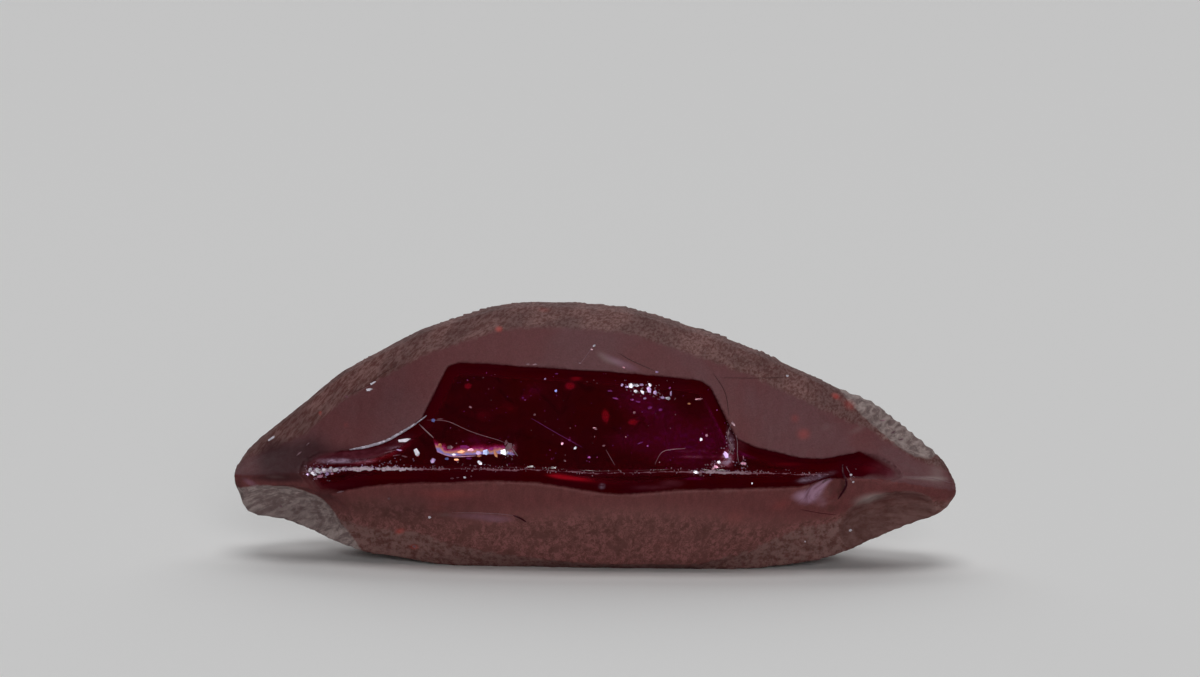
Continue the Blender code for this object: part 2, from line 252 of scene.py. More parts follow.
# Glinting flakes on the front: x, z, half length, half width, turn in degrees, tint
FLAKES = [
    (-5.73, 3.95, 0.26, 0.06, 6, "white"), (-5.37, 3.62, 0.15, 0.075, -62, "white"),
    (-4.88, 3.42, 0.09, 0.07, 30, "lilac"), (-8.63, 2.94, 0.08, 0.05, 60, "white"),
    (-8.52, 2.84, 0.11, 0.06, -20, "white"), (-8.38, 2.93, 0.12, 0.07, -50, "white"),
    (-8.33, 2.77, 0.10, 0.05, 10, "pink"), (-8.20, 2.98, 0.06, 0.05, 0, "white"),
    (-8.10, 2.86, 0.07, 0.05, 40, "lilac"), (-8.45, 2.70, 0.06, 0.04, -30, "rose"),
    (-8.00, 3.03, 0.06, 0.05, 0, "white"), (-7.84, 3.00, 0.09, 0.06, 20, "white"),
    (-8.70, 2.82, 0.05, 0.04, 0, "lilac"), (-7.95, 2.88, 0.05, 0.04, 30, "pink"),
    (-6.20, 3.60, 0.20, 0.022, 12, "rose"), (-5.90, 3.66, 0.12, 0.03, -10, "lilac"),
    (-6.00, 3.52, 0.14, 0.02, 4, "rose"), (-5.75, 3.50, 0.10, 0.02, -14, "rose"),
    (-2.74, 3.72, 0.13, 0.10, 0, "white"), (-3.00, 3.66, 0.06, 0.12, 24, "orange"),
    (-3.29, 3.70, 0.11, 0.09, 0, "sky"), (-3.52, 3.68, 0.10, 0.07, -20, "lilac"),
    (-3.47, 3.40, 0.10, 0.06, -40, "white"), (-2.62, 3.86, 0.09, 0.16, -36, "haze"),
    (-2.70, 3.99, 0.04, 0.10, -10, "rose"), (-4.38, 3.82, 0.10, 0.06, 0, "haze"),
    (-4.68, 3.86, 0.06, 0.06, 0, "orange"), (-4.46, 3.50, 0.07, 0.03, 0, "blue"),
    (-4.17, 3.48, 0.09, 0.035, -8, "orange"), (-3.80, 3.52, 0.10, 0.03, 0, "purple"),
    (-4.30, 2.92, 0.06, 0.025, 0, "rose"), (-4.12, 2.94, 0.045, 0.03, 0, "rose"),
    (-3.93, 2.96, 0.05, 0.03, 0, "white"), (-3.72, 2.99, 0.04, 0.03, 0, "rose"),
    (-4.90, 4.56, 0.06, 0.05, 0, "blue"), (-4.70, 4.60, 0.10, 0.02, 0, "rose"),
    (0.76, 5.68, 0.04, 0.05, 0, "lilac"), (1.03, 5.66, 0.09, 0.08, 0, "white"),
    (1.19, 5.67, 0.09, 0.05, -10, "mist"), (1.36, 5.68, 0.07, 0.04, 0, "lilac"),
    (1.17, 5.50, 0.06, 0.045, 0, "white"), (1.38, 5.48, 0.09, 0.05, -50, "mist"),
    (1.60, 5.68, 0.05, 0.06, 0, "mist"), (1.58, 5.54, 0.07, 0.11, 20, "lilac"),
    (1.76, 5.46, 0.06, 0.07, 0, "lilac"), (1.99, 5.32, 0.07, 0.045, 0, "lilac"),
    (2.15, 5.30, 0.08, 0.05, -10, "mist"), (2.24, 5.42, 0.03, 0.09, 0, "lilac"),
    (-3.75, 3.76, 0.11, 0.05, 0, "pink"), (-4.06, 3.70, 0.13, 0.04, 5, "orange"),
    (-3.94, 3.84, 0.16, 0.05, 0, "magenta"), (-4.28, 3.62, 0.10, 0.03, -6, "mist"),
    (-3.50, 3.60, 0.09, 0.03, 0, "orange"), (-3.12, 3.80, 0.06, 0.05, 0, "magenta"),
    (2.20, 5.59, 0.035, 0.03, 0, "purple"), (1.07, 5.27, 0.06, 0.03, 0, "purple"),
    (1.25, 5.21, 0.07, 0.03, 0, "purple"), (1.61, 5.04, 0.08, 0.04, 20, "purple"),
    (1.93, 4.98, 0.06, 0.05, 0, "purple"), (0.40, 5.51, 0.08, 0.03, 0, "purple"),
    (0.56, 5.30, 0.10, 0.03, -10, "purple"), (0.90, 5.62, 0.05, 0.03, 0, "lilac"),
    (1.45, 5.30, 0.05, 0.03, 0, "lilac"), (-3.80, 4.97, 0.045, 0.035, 0, "rose"),
    (-2.22, 5.27, 0.035, 0.03, 0, "purple"), (-1.56, 5.83, 0.035, 0.03, 0, "lilac"),
    (-1.22, 5.49, 0.04, 0.045, 0, "blue"), (-1.86, 4.80, 0.03, 0.035, 0, "rose"),
    (1.13, 4.89, 0.035, 0.05, -20, "rose"), (-0.03, 4.44, 0.07, 0.035, -35, "rose"),
    (-1.02, 3.99, 0.04, 0.04, 0, "pink"), (-0.79, 4.10, 0.035, 0.035, 0, "purple"),
    (-0.62, 3.88, 0.045, 0.045, 0, "white"), (-0.20, 3.63, 0.05, 0.04, 0, "purple"),
    (0.23, 3.96, 0.04, 0.03, 0, "rose"), (3.15, 4.14, 0.05, 0.04, 35, "white"),
    (3.33, 4.25, 0.04, 0.04, 0, "pink"), (2.79, 5.15, 0.05, 0.03, 0, "orange"),
    (3.08, 5.27, 0.13, 0.025, 8, "rose"), (1.33, 4.04, 0.10, 0.02, 25, "purple"),
    (1.55, 3.96, 0.05, 0.03, 0, "purple"), (4.42, 3.46, 0.05, 0.09, 90, "pink"),
    (4.42, 3.62, 0.012, 0.08, 0, "pink"), (3.90, 3.70, 0.07, 0.12, 30, "lilac"),
    (3.70, 3.50, 0.06, 0.06, 0, "white"), (3.60, 3.38, 0.07, 0.05, -20, "pink"),
    (3.00, 3.23, 0.09, 0.05, -15, "white"), (3.15, 3.17, 0.05, 0.05, 0, "rose"),
    (3.52, 3.34, 0.06, 0.04, 0, "rose"), (4.10, 3.88, 0.03, 0.12, 12, "haze"),
    (3.97, 4.28, 0.03, 0.10, -20, "haze"), (4.12, 4.60, 0.10, 0.04, -60, "haze"),
    (7.69, 3.07, 0.05, 0.04, 0, "white"), (7.76, 2.90, 0.03, 0.04, 0, "white"),
    (6.95, 2.88, 0.16, 0.04, 40, "haze"), (-6.78, 5.51, 0.11, 0.04, 28, "white"),
    (-6.88, 5.32, 0.12, 0.055, 8, "white"), (-7.59, 5.07, 0.06, 0.035, -10, "rose"),
    (-9.00, 3.36, 0.11, 0.03, 55, "haze"), (-8.73, 3.65, 0.06, 0.025, 45, "haze"),
    (-9.89, 3.69, 0.15, 0.04, 33, "white"), (-0.10, 6.82, 0.05, 0.03, 30, "white"),
    (-0.16, 6.71, 0.04, 0.03, 0, "haze"), (-0.51, 6.31, 0.04, 0.03, 0, "haze"),
    (1.81, 6.07, 0.05, 0.03, 0, "lilac"), (0.81, 6.20, 0.06, 0.03, -30, "rose"),
    (-6.21, 2.19, 0.05, 0.04, 0, "haze"), (-4.98, 1.64, 0.045, 0.045, 0, "white"),
    (-7.71, 2.32, 0.12, 0.02, 12, "haze"), (7.77, 1.21, 0.05, 0.04, 0, "white"),
    (6.39, 0.91, 0.03, 0.03, 0, "white"), (5.78, 5.86, 0.05, 0.035, 0, "white"),
    (-1.87, 6.26, 0.07, 0.03, 0, "haze"), (-2.08, 6.26, 0.06, 0.03, 0, "haze"),
    (4.70, 2.88, 0.03, 0.03, 0, "white"), (-5.48, 0.60, 0.06, 0.04, 0, "haze"),
    (9.05, 4.12, 0.14, 0.03, 25, "haze"), (9.30, 3.90, 0.12, 0.025, 20, "haze"),
    (8.72, 4.48, 0.12, 0.03, 20, "haze"), (-9.60, 1.62, 0.05, 0.03, 0, "haze"),
    (-1.22, 5.98, 0.05, 0.03, 0, "purple"), (-0.93, 3.52, 0.04, 0.03, 0, "rose"),
]

# Hairlines along the front: half width, tint and the places that they pass, as (x, z)
HAIRLINES = [
    # The first line is a painted highlight: a pale tube along the lip of the left scoop, where the lip
    # catches the light
    (0.044, "mist", [(-7.42, 3.62), (-6.82, 3.75), (-6.21, 3.98), (-5.71, 4.30), (-5.12, 4.68)]),
    (0.020, "haze", [(-5.34, 4.44), (-5.20, 4.30), (-5.04, 4.20), (-4.88, 4.06)]),
    (0.014, "pink", [(-4.74, 3.68), (-4.50, 3.58), (-4.20, 3.55), (-3.86, 3.58), (-3.60, 3.60)]),
    (0.030, "wine", [(-2.46, 1.80), (-2.24, 1.74), (-2.06, 1.58)]),
    (0.009, "rose", [
        (-5.10, 4.56), (-4.47, 4.57), (-3.86, 4.31), (-3.39, 4.17), (-2.94, 4.07), (-2.62, 3.95),
    ]),
    (0.020, "haze", [(-2.66, 4.02), (-2.52, 3.84), (-2.34, 3.62)]),
    (0.009, "rose", [(0.30, 3.85), (0.43, 3.64), (0.58, 3.40)]),
    (0.010, "rose", [(1.77, 3.43), (1.87, 3.65), (1.95, 3.82), (2.28, 3.87), (2.68, 3.89)]),
    (0.008, "purple", [(-1.95, 4.70), (-1.20, 4.30), (-0.40, 3.90)]),
    (0.010, "dark", [(3.50, 6.02), (3.66, 5.83), (3.83, 5.59), (3.92, 5.38), (3.96, 5.07), (3.99, 4.80)]),
    (0.010, "dark", [(0.63, 6.62), (0.99, 6.42), (1.39, 6.25), (1.74, 6.11)]),
    (0.008, "haze", [(-0.10, 6.87), (-0.28, 6.58), (-0.51, 6.30)]),
    (0.007, "dark", [(3.69, 5.89), (4.33, 5.87), (4.94, 5.84), (5.71, 5.83)]),
    (0.007, "dark", [(-7.49, 5.15), (-6.94, 5.42), (-6.58, 5.75), (-6.00, 6.10)]),
    (0.018, "haze", [
        (4.08, 4.66), (4.00, 4.42), (3.90, 4.22), (4.05, 4.05), (4.12, 3.86), (3.98, 3.72), (3.84, 3.56),
    ]),
    (0.014, "haze", [(4.20, 4.30), (4.28, 4.00), (4.22, 3.74), (4.30, 3.48)]),
    (0.040, "wine", [(7.46, 3.36), (7.41, 3.10), (7.62, 2.90), (7.50, 2.60), (7.32, 2.32)]),
    (0.012, "haze", [(7.55, 3.31), (7.58, 3.18), (7.68, 3.10)]),
    (0.010, "haze", [(9.39, 2.96), (10.00, 2.88), (10.48, 2.79), (10.90, 2.62)]),
    (0.008, "haze", [(-4.30, 1.83), (-3.60, 1.85), (-2.90, 1.84), (-2.40, 1.79)]),
    (0.010, "wine", [(6.20, 2.00), (6.60, 1.90), (7.00, 1.82), (7.30, 1.78)]),
]
HAIRLINE_STEP = 0.05
HAIRLINE_ROUNDING = 14
HAIRLINE_TIP = 0.35
HAIRLINE_SIDES = 6

# How far a glinting flake leans towards the direction that glints, from 0 to 1
FLAKE_LEAN = 0.65
FLAKE_CORNERS = 5
FLAKE_JAG = 0.075

# The fine motes of the bare zone
MOTE_X = (-4.4, 3.9)
MOTE_Z = (3.3, 6.1)
MOTE_SIZES = (0.008, 0.020)
MOTE_TINTS = ["purple", "purple", "rose", "wine", "magenta"]
MOTE_MARGIN = 0.08

# Smallest and largest shape of a crushed grain, as shares of the grain size
GRAIN_SHAPES = ((0.35, 0.35, 0.30), (1.25, 0.95, 0.80))

# Growth terraces on the back: direction in degrees, spacing and share of the terrace height
TERRACES = [(12.0, 1.35, 1.0), (72.0, 2.10, 0.8), (132.0, 1.70, 0.7)]

# Etch pits on the back: the directions of their three walls in degrees, where they lie and their sizes
PIT_WALLS = (100.0, 220.0, 340.0)
PIT_X = (-8.5, 8.5)
PIT_Z = (1.0, 7.2)
PIT_SIZES = (0.20, 1.00)
PIT_SLOPE = 0.16

# Ripples in the chips: the place (x, z) that they spread from, and their strength
RIPPLES = {
    "right_chip": ((7.2, 6.4), 1.0),
    "left_chip": ((-11.6, 3.4), 0.35),
    "low_chip": ((11.4, 4.4), 0.6),
}

# How far the keel's bites reach from it, and the height of the bare zone's waves
KEEL_REACH = 0.09
BARE_SWELL = 0.0015

# How wide the band of crushed grains is, and how far above the keel it lies
GRIT_REACH = 0.07
GRIT_RISE = 0.03

# Where the lower face's mottling reaches higher, as soft patches
HIGH_MOTTLE = [(-6.0, 1.9, 1.6, 0.5, 0, 1.0), (1.0, 1.6, 3.5, 0.9, 0, 1.0)]

# How much darker the tint of the bare zone's opaque edge is than that of its clear part: painted shade, so
# that the opaque edge looks as dim as the see-through red beside it
PAINTED_EDGE_SHADE = 14.0


def direction(azimuth, elevation):
    """A direction from the stone: azimuth 0 is straight in front of it and 90 is at its +X end."""
    a, e = math.radians(azimuth), math.radians(elevation)
    return Vector((math.sin(a) * math.cos(e), -math.cos(a) * math.cos(e), math.sin(e)))


# Flakes that face this way throw the front light towards the camera
FILL_DIRECTION = direction(8.0, 17.0)
GLINT_DIRECTION = (direction(0.0, 8.0) + FILL_DIRECTION).normalized()

# Soft lights, in metres: the way to them from the stone, their distance, width and height
BACK_LIGHT = (direction(180.0, 46.0), 3.5, 6.0, 3.6)
TOP_LIGHT = (direction(0.0, 78.0), 3.5, 2.2, 1.8)
FRONT_FILL = (FILL_DIRECTION, 3.0, 1.1, 1.1)
ROOM_TONE = 0.006
FLOOR_HALF_WIDTH = 3.0


def metres(name, description, millimetres):
    """A length property, stated here in millimetres and held in metres."""
    return FloatProperty(
        name=name, description=description, default=millimetres * MM, min=0.0, precision=6, unit="LENGTH",
    )


def colour(name, description, value):
    """A colour property, its value linear."""
    return FloatVectorProperty(
        name=name, description=description, default=value, subtype="COLOR", min=0.0, max=1.0,
    )


def count(name, description, value):
    return IntProperty(name=name, description=description, default=value, min=0)


def share(name, description, value):
    """A property from 0 to 1."""
    return FloatProperty(
        name=name, description=description, default=value, min=0.0, max=1.0, subtype="FACTOR",
    )


def amount(name, description, value):
    return FloatProperty(name=name, description=description, default=value)


def degrees(name, description, value):
    """An angle property, stated here in degrees."""
    return FloatProperty(name=name, description=description, default=math.radians(value), subtype="ANGLE")


class RubyFormSettings(bpy.types.PropertyGroup):
    """Sizes of the relief on the stone"""

    mesh_step: metres("Mesh step", "Spacing of the finished surface's points", 0.074)
    grain: metres("Grain", "Height of the skin's fine grain", 0.010)
    swell: metres("Swell", "Height of the skin's slow waves", 0.014)
    rim_relief: metres("Rim relief", "Height of the worn rims' lumps", 0.006)
    ripple_height: metres("Ripple height", "Height of the ripples in the shell-shaped chips", 0.022)
    ripple_spacing: metres("Ripple spacing", "Distance between two ripples", 0.34)
    striae_height: metres("Striae height", "Height of the growth lines down the lower face", 0.006)
    terrace_height: metres("Terrace height", "Height of each growth terrace on the back", 0.050)
    trigon_depth: metres("Trigon depth", "Depth of the three-sided etch pits on the back", 0.090)
    trigon_count: count("Trigons", "Number of etch pits on the back", 80)
    keel_bite: metres("Keel bite", "How far the crushed keel is bitten back", 0.060)
    seed: count("Seed", "Sets the places of the etch pits", 7)


class RubyFinishSettings(bpy.types.PropertyGroup):
    """Colours and optical values of the stone"""

    skin_mauve: colour("Mauve skin", "Colour of the frosted skin", (0.168, 0.064, 0.073))
    skin_rose: colour("Rose skin", "Colour of the skin where it is thinner", (0.172, 0.052, 0.058))
    low_skin: colour("Lower skin", "Colour of the skin under the keel", (0.190, 0.050, 0.051))
    low_pale: colour("Lower rim", "Light grain of the lower rim", (0.370, 0.145, 0.138))
    rim_pale: colour("Pale rim", "Pale streaks of the worn rims", (0.270, 0.152, 0.140))
    rim_brown: colour("Brown rim", "Dark streaks and stains", (0.110, 0.040, 0.032))
    chip_grey: colour("Chip grey", "Thin chips at the ends", (0.200, 0.138, 0.134))
    chip_pale: colour("Chip pale", "Pale streaks in the thin chips", (0.370, 0.290, 0.276))
    facet_dark: colour("Facet dark", "Dark streaks of the low break at the right", (0.120, 0.042, 0.036))
    facet_pale: colour("Facet pale", "Pale streaks of the low break at the right", (0.205, 0.100, 0.092))
    crushed: colour("Crushed edge", "Crushed grains along the left of the keel", (0.660, 0.540, 0.620))
    crushed_dull: colour("Dull crushed edge", "Grains along the rest of the keel", (0.270, 0.115, 0.150))
    lilac: colour("Lilac", "Smooth lilac breaks", (0.330, 0.160, 0.240))
    veil: colour("Veil", "Hazy veils in the bare zone", (0.560, 0.400, 0.560))
    flash: colour("Flash", "Flashes of red in the bare zone", (0.360, 0.005, 0.014))
    plum: colour("Plum", "Plum haze over the bare zone's tails", (0.130, 0.026, 0.040))
    purple: colour("Purple", "Purple cast in the bare zone", (0.430, 0.008, 0.200))
    lilac_white: colour("Lilac white", "Lightest streaks of the lilac break", (0.470, 0.265, 0.380))
    glow: colour("Red glow", "Patches where red shines through the skin", (0.700, 0.085, 0.070))
    glass: colour("Glass", "Tint of light that passes the bare surface", (0.700, 0.008, 0.055))
    glass_dark: colour("Dark glass", "Tint of light that passes its darker patches", (0.720, 0.005, 0.024))
    depth_red: colour("Depth colour", "What the stone lets through, inside", (0.820, 0.013, 0.400))
    absorption: amount("Absorption", "Strength of the inner colour, per metre", 1100.0)
    refraction: amount("Index of refraction", "Corundum's index", 1.765)
    skin_passes: share("Skin passes", "Share of light that the skin lets in", 0.18)


class RubyGlintSettings(bpy.types.PropertyGroup):
    """Sizes of the bright flakes, grains and hairlines"""

    flake_thickness: metres("Flake thickness", "Thickness of the glinting flakes", 0.016)
    grain_size: metres("Grain size", "Half size of the crushed grains along the keel", 0.030)
    grain_density: amount("Grain density", "Grains per square millimetre where they lie closest", 420.0)
    dust_count: count("Dust", "Number of fine motes in the bare zone", 120)
    seed: count("Seed", "Sets the places of the grains and motes", 11)


class RubyStageSettings(bpy.types.PropertyGroup):
    """Floor, lights and camera"""

    floor_tone: share("Floor tone", "How pale the floor is", 0.90)
    back_power: amount("Back light", "Soft light above and behind, in watts", 68.0)
    top_power: amount("Top light", "Soft light above, in watts", 38.0)
    fill_power: amount("Front fill", "Soft light at the front, in watts", 30.0)
    lens: amount("Lens", "Focal length, in millimetres", 120.0)
    distance: metres("Distance", "From the camera to the point that it looks at", 120.9)
    elevation: degrees("Elevation", "How far the camera looks down", 8.0)
    roll: degrees("Roll", "Turn of the camera about its own line of sight", 0.77)


def along(stops, x):
    """The values at x between the stops."""
    xs, values = zip(*stops)
    return np.interp(x, xs, values)


def smooth_step(low, high, value):
    t = np.clip((value - low) / (high - low), 0.0, 1.0)
    return t * t * (3.0 - 2.0 * t)


def fractal(points, stretch, octaves=3):
    """Smooth noise at each point, about -1 to 1. stretch gives its waves per millimetre along each axis."""
    scaled = points * np.asarray(stretch)
    return np.array([noise.fractal(p, 1.0, 2.0, octaves) for p in scaled.tolist()])


def inside_distance(outline, x, z):
    """The distance from a closed outline, positive inside it."""
    nearest = np.full(len(x), 1e9)
    inside = np.zeros(len(x), bool)
    for (ax, az), (bx, bz) in zip(outline, outline[1:] + outline[:1]):
        ex, ez = bx - ax, bz - az
        t = np.clip(((x - ax) * ex + (z - az) * ez) / (ex * ex + ez * ez), 0.0, 1.0)
        nearest = np.minimum(nearest, np.hypot(x - ax - t * ex, z - az - t * ez))
        if az != bz:
            inside ^= ((az > z) != (bz > z)) & (x < ex * (z - az) / (bz - az) + ax)
    return np.where(inside, nearest, -nearest)


def patches(stops, x, z):
    """Soft oval patches added up at each (x, z)."""
    total = np.zeros(len(x))
    for px, pz, wide, high, turn, strength in stops:
        c, s = math.cos(math.radians(turn)), math.sin(math.radians(turn))
        u = ((x - px) * c + (z - pz) * s) / wide
        v = ((z - pz) * c - (x - px) * s) / high
        total += strength * np.exp(-(u * u + v * v))
    return total


def chip_distance(name, points):
    """How far each point is from the chip's shell, in about millimetres."""
    centre, half_sizes, turn = CHIPS[name]
    spin = np.array(Euler([math.radians(a) for a in turn]).to_matrix())
    local = (points - np.array(centre)) @ spin / np.array(half_sizes)
    return np.abs(np.linalg.norm(local, axis=1) - 1.0) * float(np.mean(half_sizes))


class Stone:
    """The CAD solid or the finished body, in millimetres, for finding places on its surface."""

    def __init__(self, node):
        self.bm = bmesh.new()
        self.bm.from_mesh(node.data)
        bmesh.ops.scale(self.bm, vec=(1.0 / MM,) * 3, verts=self.bm.verts[:])
        bmesh.ops.remove_doubles(self.bm, verts=self.bm.verts[:], dist=1e-4)
        self.tree = BVHTree.FromBMesh(self.bm)

    def front(self, x, z):
        """The point on the front of the stone at (x, z) and the surface's direction there."""
        place, normal, _, _ = self.tree.ray_cast(Vector((x, -20.0, z)), Vector((0.0, 1.0, 0.0)))
        if place is None:
            raise RuntimeError(f"nothing of the stone lies at x {x:.2f}, z {z:.2f}")
        return place, normal

    def settle(self, points):
        """Each point moved to the nearest place on the solid, and the solid's direction there."""
        found = [self.tree.find_nearest(p)[:2] for p in points.tolist()]
        return np.array([p for p, _ in found]), np.array([n for _, n in found])


class Nodes:
    """Adds nodes to a tree. An input takes a value or the socket that feeds it."""

    def __init__(self, tree):
        self.tree = tree

    def add(self, kind, inputs=None, **settings):
        node = self.tree.nodes.new(kind)
        for name, value in settings.items():
            setattr(node, name, value)
        for place, value in (inputs or {}).items():
            if isinstance(value, bpy.types.NodeSocket):
                self.tree.links.new(value, node.inputs[place])
            else:
                node.inputs[place].default_value = value
        return node

    def scaled(self, vector, factor):
        return self.add("ShaderNodeVectorMath", {0: vector, "Scale": factor}, operation="SCALE").outputs[0]

    def calc(self, operation, a, b=0.0, c=0.0):
        return self.add("ShaderNodeMath", {0: a, 1: b, 2: c}, operation=operation).outputs[0]


class Surface(Nodes):
    """A material with one shader, and the masks and noises that feed it."""

    def __init__(self, name):
        self.material = bpy.data.materials.new(name)
        self.material.use_nodes = True
        super().__init__(self.material.node_tree)
        self.shader = self.tree.nodes["Principled BSDF"]
        self.output = self.tree.nodes["Material Output"]
        coordinates = self.add("ShaderNodeTexCoord").outputs["Object"]
        self.place = self.scaled(coordinates, 1.0 / MM)

    def mask(self, name):
        return self.add("ShaderNodeAttribute", attribute_name=name).outputs["Fac"]

    def tint(self, name):
        return self.add("ShaderNodeAttribute", attribute_name=name).outputs["Color"]

    def noise(self, per_mm, detail=3.0, roughness=0.55, stretch=(1.0, 1.0, 1.0), turn=0.0, distortion=0.0):
        """A noise with per_mm waves per millimetre, fewer along an axis that stretch lowers.

        turn tips those axes about Y, in degrees.
        """
        vector = self.add("ShaderNodeMapping", {
            "Vector": self.place, "Rotation": (0.0, math.radians(turn), 0.0),
            "Scale": [1.0 / s for s in stretch],
        }, vector_type="TEXTURE").outputs[0]
        return self.add("ShaderNodeTexNoise", {
            "Vector": vector, "Scale": per_mm, "Detail": detail, "Roughness": roughness,
            "Distortion": distortion,
        }).outputs["Fac"]

    def ramp(self, value, low, high, start=0.0, end=1.0):
        """Goes smoothly from start to end while the value goes from low to high."""
        return self.add("ShaderNodeMapRange", {
            0: value, 1: low, 2: high, 3: start, 4: end,
        }, interpolation_type="SMOOTHSTEP").outputs[0]

    def mix(self, share, a, b):
        def solid(c):
            return (*c, 1.0) if not isinstance(c, bpy.types.NodeSocket) and len(c) == 3 else c
        return self.add("ShaderNodeMix", {0: share, 6: solid(a), 7: solid(b)}, data_type="RGBA").outputs[2]

    def bands(self, value, stops):
        """Colours that follow each other as the value rises, each stop as (value, colour)."""
        start, end = stops[0][0], stops[-1][0]
        share = self.add("ShaderNodeMapRange", {0: value, 1: start, 2: end, 3: 0.0, 4: 1.0}).outputs[0]
        node = self.add("ShaderNodeValToRGB", {0: share})
        for place, tone in stops[1:-1]:
            node.color_ramp.elements.new((place - start) / (end - start)).color = (*tone, 1.0)
        node.color_ramp.elements[0].color = (*stops[0][1], 1.0)
        node.color_ramp.elements[-1].color = (*stops[-1][1], 1.0)
        return node.outputs["Color"]

    def shade(self, tone, factor):
        """A colour made lighter or darker by a factor."""
        return self.scaled(tone, factor)

    def set(self, **values):
        """Feeds the shader's sockets, named with spaces as underscores."""
        for name, value in values.items():
            socket = self.shader.inputs[name.replace("_", " ")]
            if isinstance(value, bpy.types.NodeSocket):
                self.tree.links.new(value, socket)
            else:
                socket.default_value = value


# How far noises are drawn out along X, Y and Z. A low number makes long streaks along that axis.
TALL = (1.0, 1.0, 0.7)
CREST_HAIRS = (1.0, 1.0, 0.24)
GROWTH_LINES = (1.0, 1.0, 0.07)

# Shares of light: what the clear part lets in, what the thin chips hold back, and what the surface throws off
CLEAR_SHARE = 0.97
CHIPS_BLOCK = 0.4
SHEEN = 0.05

GLASS_ROUGHNESS = 0.035
BUMP_HEIGHT = 0.03


def shared_noises(m):
    """Noises that several parts of the surface use."""
    lines = m.calc("ABSOLUTE", m.calc("SUBTRACT", m.noise(4.6, 5.0, 0.75, TALL, 10.0, 0.6), 0.5))
    veins = m.ramp(lines, 0.0, 0.045, 1.0, 0.0)
    blots = m.ramp(m.noise(2.6, 5.0, 0.72, TALL, 15.0), 0.50, 0.60, 0.0, 0.8)
    specks = m.ramp(m.noise(6.5, 5.0, 0.75, TALL, 15.0), 0.47, 0.60)
    return SimpleNamespace(
        grain=m.noise(7.0, 4.0, 0.6),
        fine=m.noise(22.0, 3.0, 0.6),
        hairs=m.noise(12.0, 4.0, 0.72, CREST_HAIRS, 34.0, 0.3),
        mottle=m.calc("MAXIMUM", veins, m.calc("MAXIMUM", blots, specks)),
    )


def ragged_zones(m):
    """How much each zone holds of a place, from 0 to 1, with ragged borders."""
    ragged = m.calc("MULTIPLY_ADD", m.noise(5.0, 4.0, 0.65), 0.16, -0.08)

    def region(name, low, high, wander=1.0):
        return m.ramp(m.calc("MULTIPLY_ADD", ragged, wander, m.mask(name)), low, high)

    edge = m.calc("MULTIPLY_ADD", ragged, 0.45, m.calc("ADD", m.mask("bare"), 0.05))
    left_chip = region("left_chip", -0.02, 0.05, 0.5)
    right_chip = region("right_chip", -0.01, 0.05, 0.4)
    return SimpleNamespace(
        bare=m.ramp(m.calc("DIVIDE", edge, m.mask("edge_width")), 0.0, 1.0),
        crest=region("crest", -0.05, 0.10, 1.6),
        under=region("under", -0.05, 0.12, 2.2),
        lower=region("below", -0.02, 0.02),
        thin_chips=m.calc("MAXIMUM", left_chip, right_chip),
        low_chip=region("low_chip", 0.015, 0.035, 0.1),
    )


def plain_skin(m, finish, zone, noises):
    """The frosted skin with its growth lines and its fine print, which is strongest low down."""
    skin = m.mix(m.ramp(m.noise(0.42, 2.0, 0.5), 0.38, 0.62), finish.skin_mauve, finish.skin_rose)
    skin = m.mix(zone.lower, skin, finish.low_skin)
    lines = m.noise(5.5, 3.0, 0.6, GROWTH_LINES, 3.0)
    between_lines = m.calc("MULTIPLY_ADD", zone.lower, -0.35, 1.0)
    skin = m.shade(skin, m.calc("MULTIPLY_ADD", lines, m.calc("MULTIPLY", zone.lower, 0.7), between_lines))
    skin = m.shade(skin, m.ramp(noises.fine, 0.3, 0.7, 0.86, 1.12))
    skin = m.mix(m.calc("MULTIPLY", noises.mottle, 0.16), skin, finish.rim_brown)
    low_band = m.ramp(m.mask("low_mottle"), 0.1, 0.9)
    skin = m.mix(m.calc("MULTIPLY", low_band, 0.6), skin, finish.low_pale)
    low_mottle = m.calc("MULTIPLY", low_band, noises.mottle)
    return m.mix(m.calc("MULTIPLY", low_mottle, 0.88), skin, finish.rim_brown)


def add_worn_rims(m, finish, zone, noises, skin):
    rim = m.mix(m.ramp(noises.hairs, 0.40, 0.60), finish.rim_brown, finish.rim_pale)
    uneven = m.noise(1.1, 3.0, 0.6, (1.0, 1.0, 0.5), 34.0)
    rim = m.shade(rim, m.ramp(uneven, 0.35, 0.65, 0.72, 1.22))
    rim = m.mix(m.ramp(noises.grain, 0.35, 0.7, 0.20, 0.0), rim, finish.skin_rose)
    skin = m.mix(m.calc("MULTIPLY", zone.crest, 0.80), skin, rim)
    under_rim = m.mix(m.ramp(m.noise(5.0, 5.0, 0.75), 0.38, 0.58), finish.rim_brown, finish.rim_pale)
    return m.mix(m.calc("MULTIPLY", zone.under, 0.75), skin, under_rim)


def add_chips(m, finish, zone, noises, skin):
    """The thin pale chips at the ends and the darker low break at the right."""
    streak = m.ramp(m.noise(5.0, 5.0, 0.70, (1.0, 1.0, 0.22), 60.0, 0.4), 0.40, 0.60)
    chip = m.mix(streak, finish.chip_grey, finish.chip_pale)
    chip = m.shade(chip, m.ramp(noises.grain, 0.3, 0.7, 0.80, 1.12))
    skin = m.mix(zone.thin_chips, skin, chip)
    low_streak = m.noise(4.6, 5.0, 0.68, (1.0, 1.0, 0.20), 96.0, 0.4)
    low = m.mix(m.ramp(low_streak, 0.36, 0.64), finish.facet_dark, finish.facet_pale)
    return m.mix(m.calc("MULTIPLY", zone.low_chip, 0.8), skin, low)


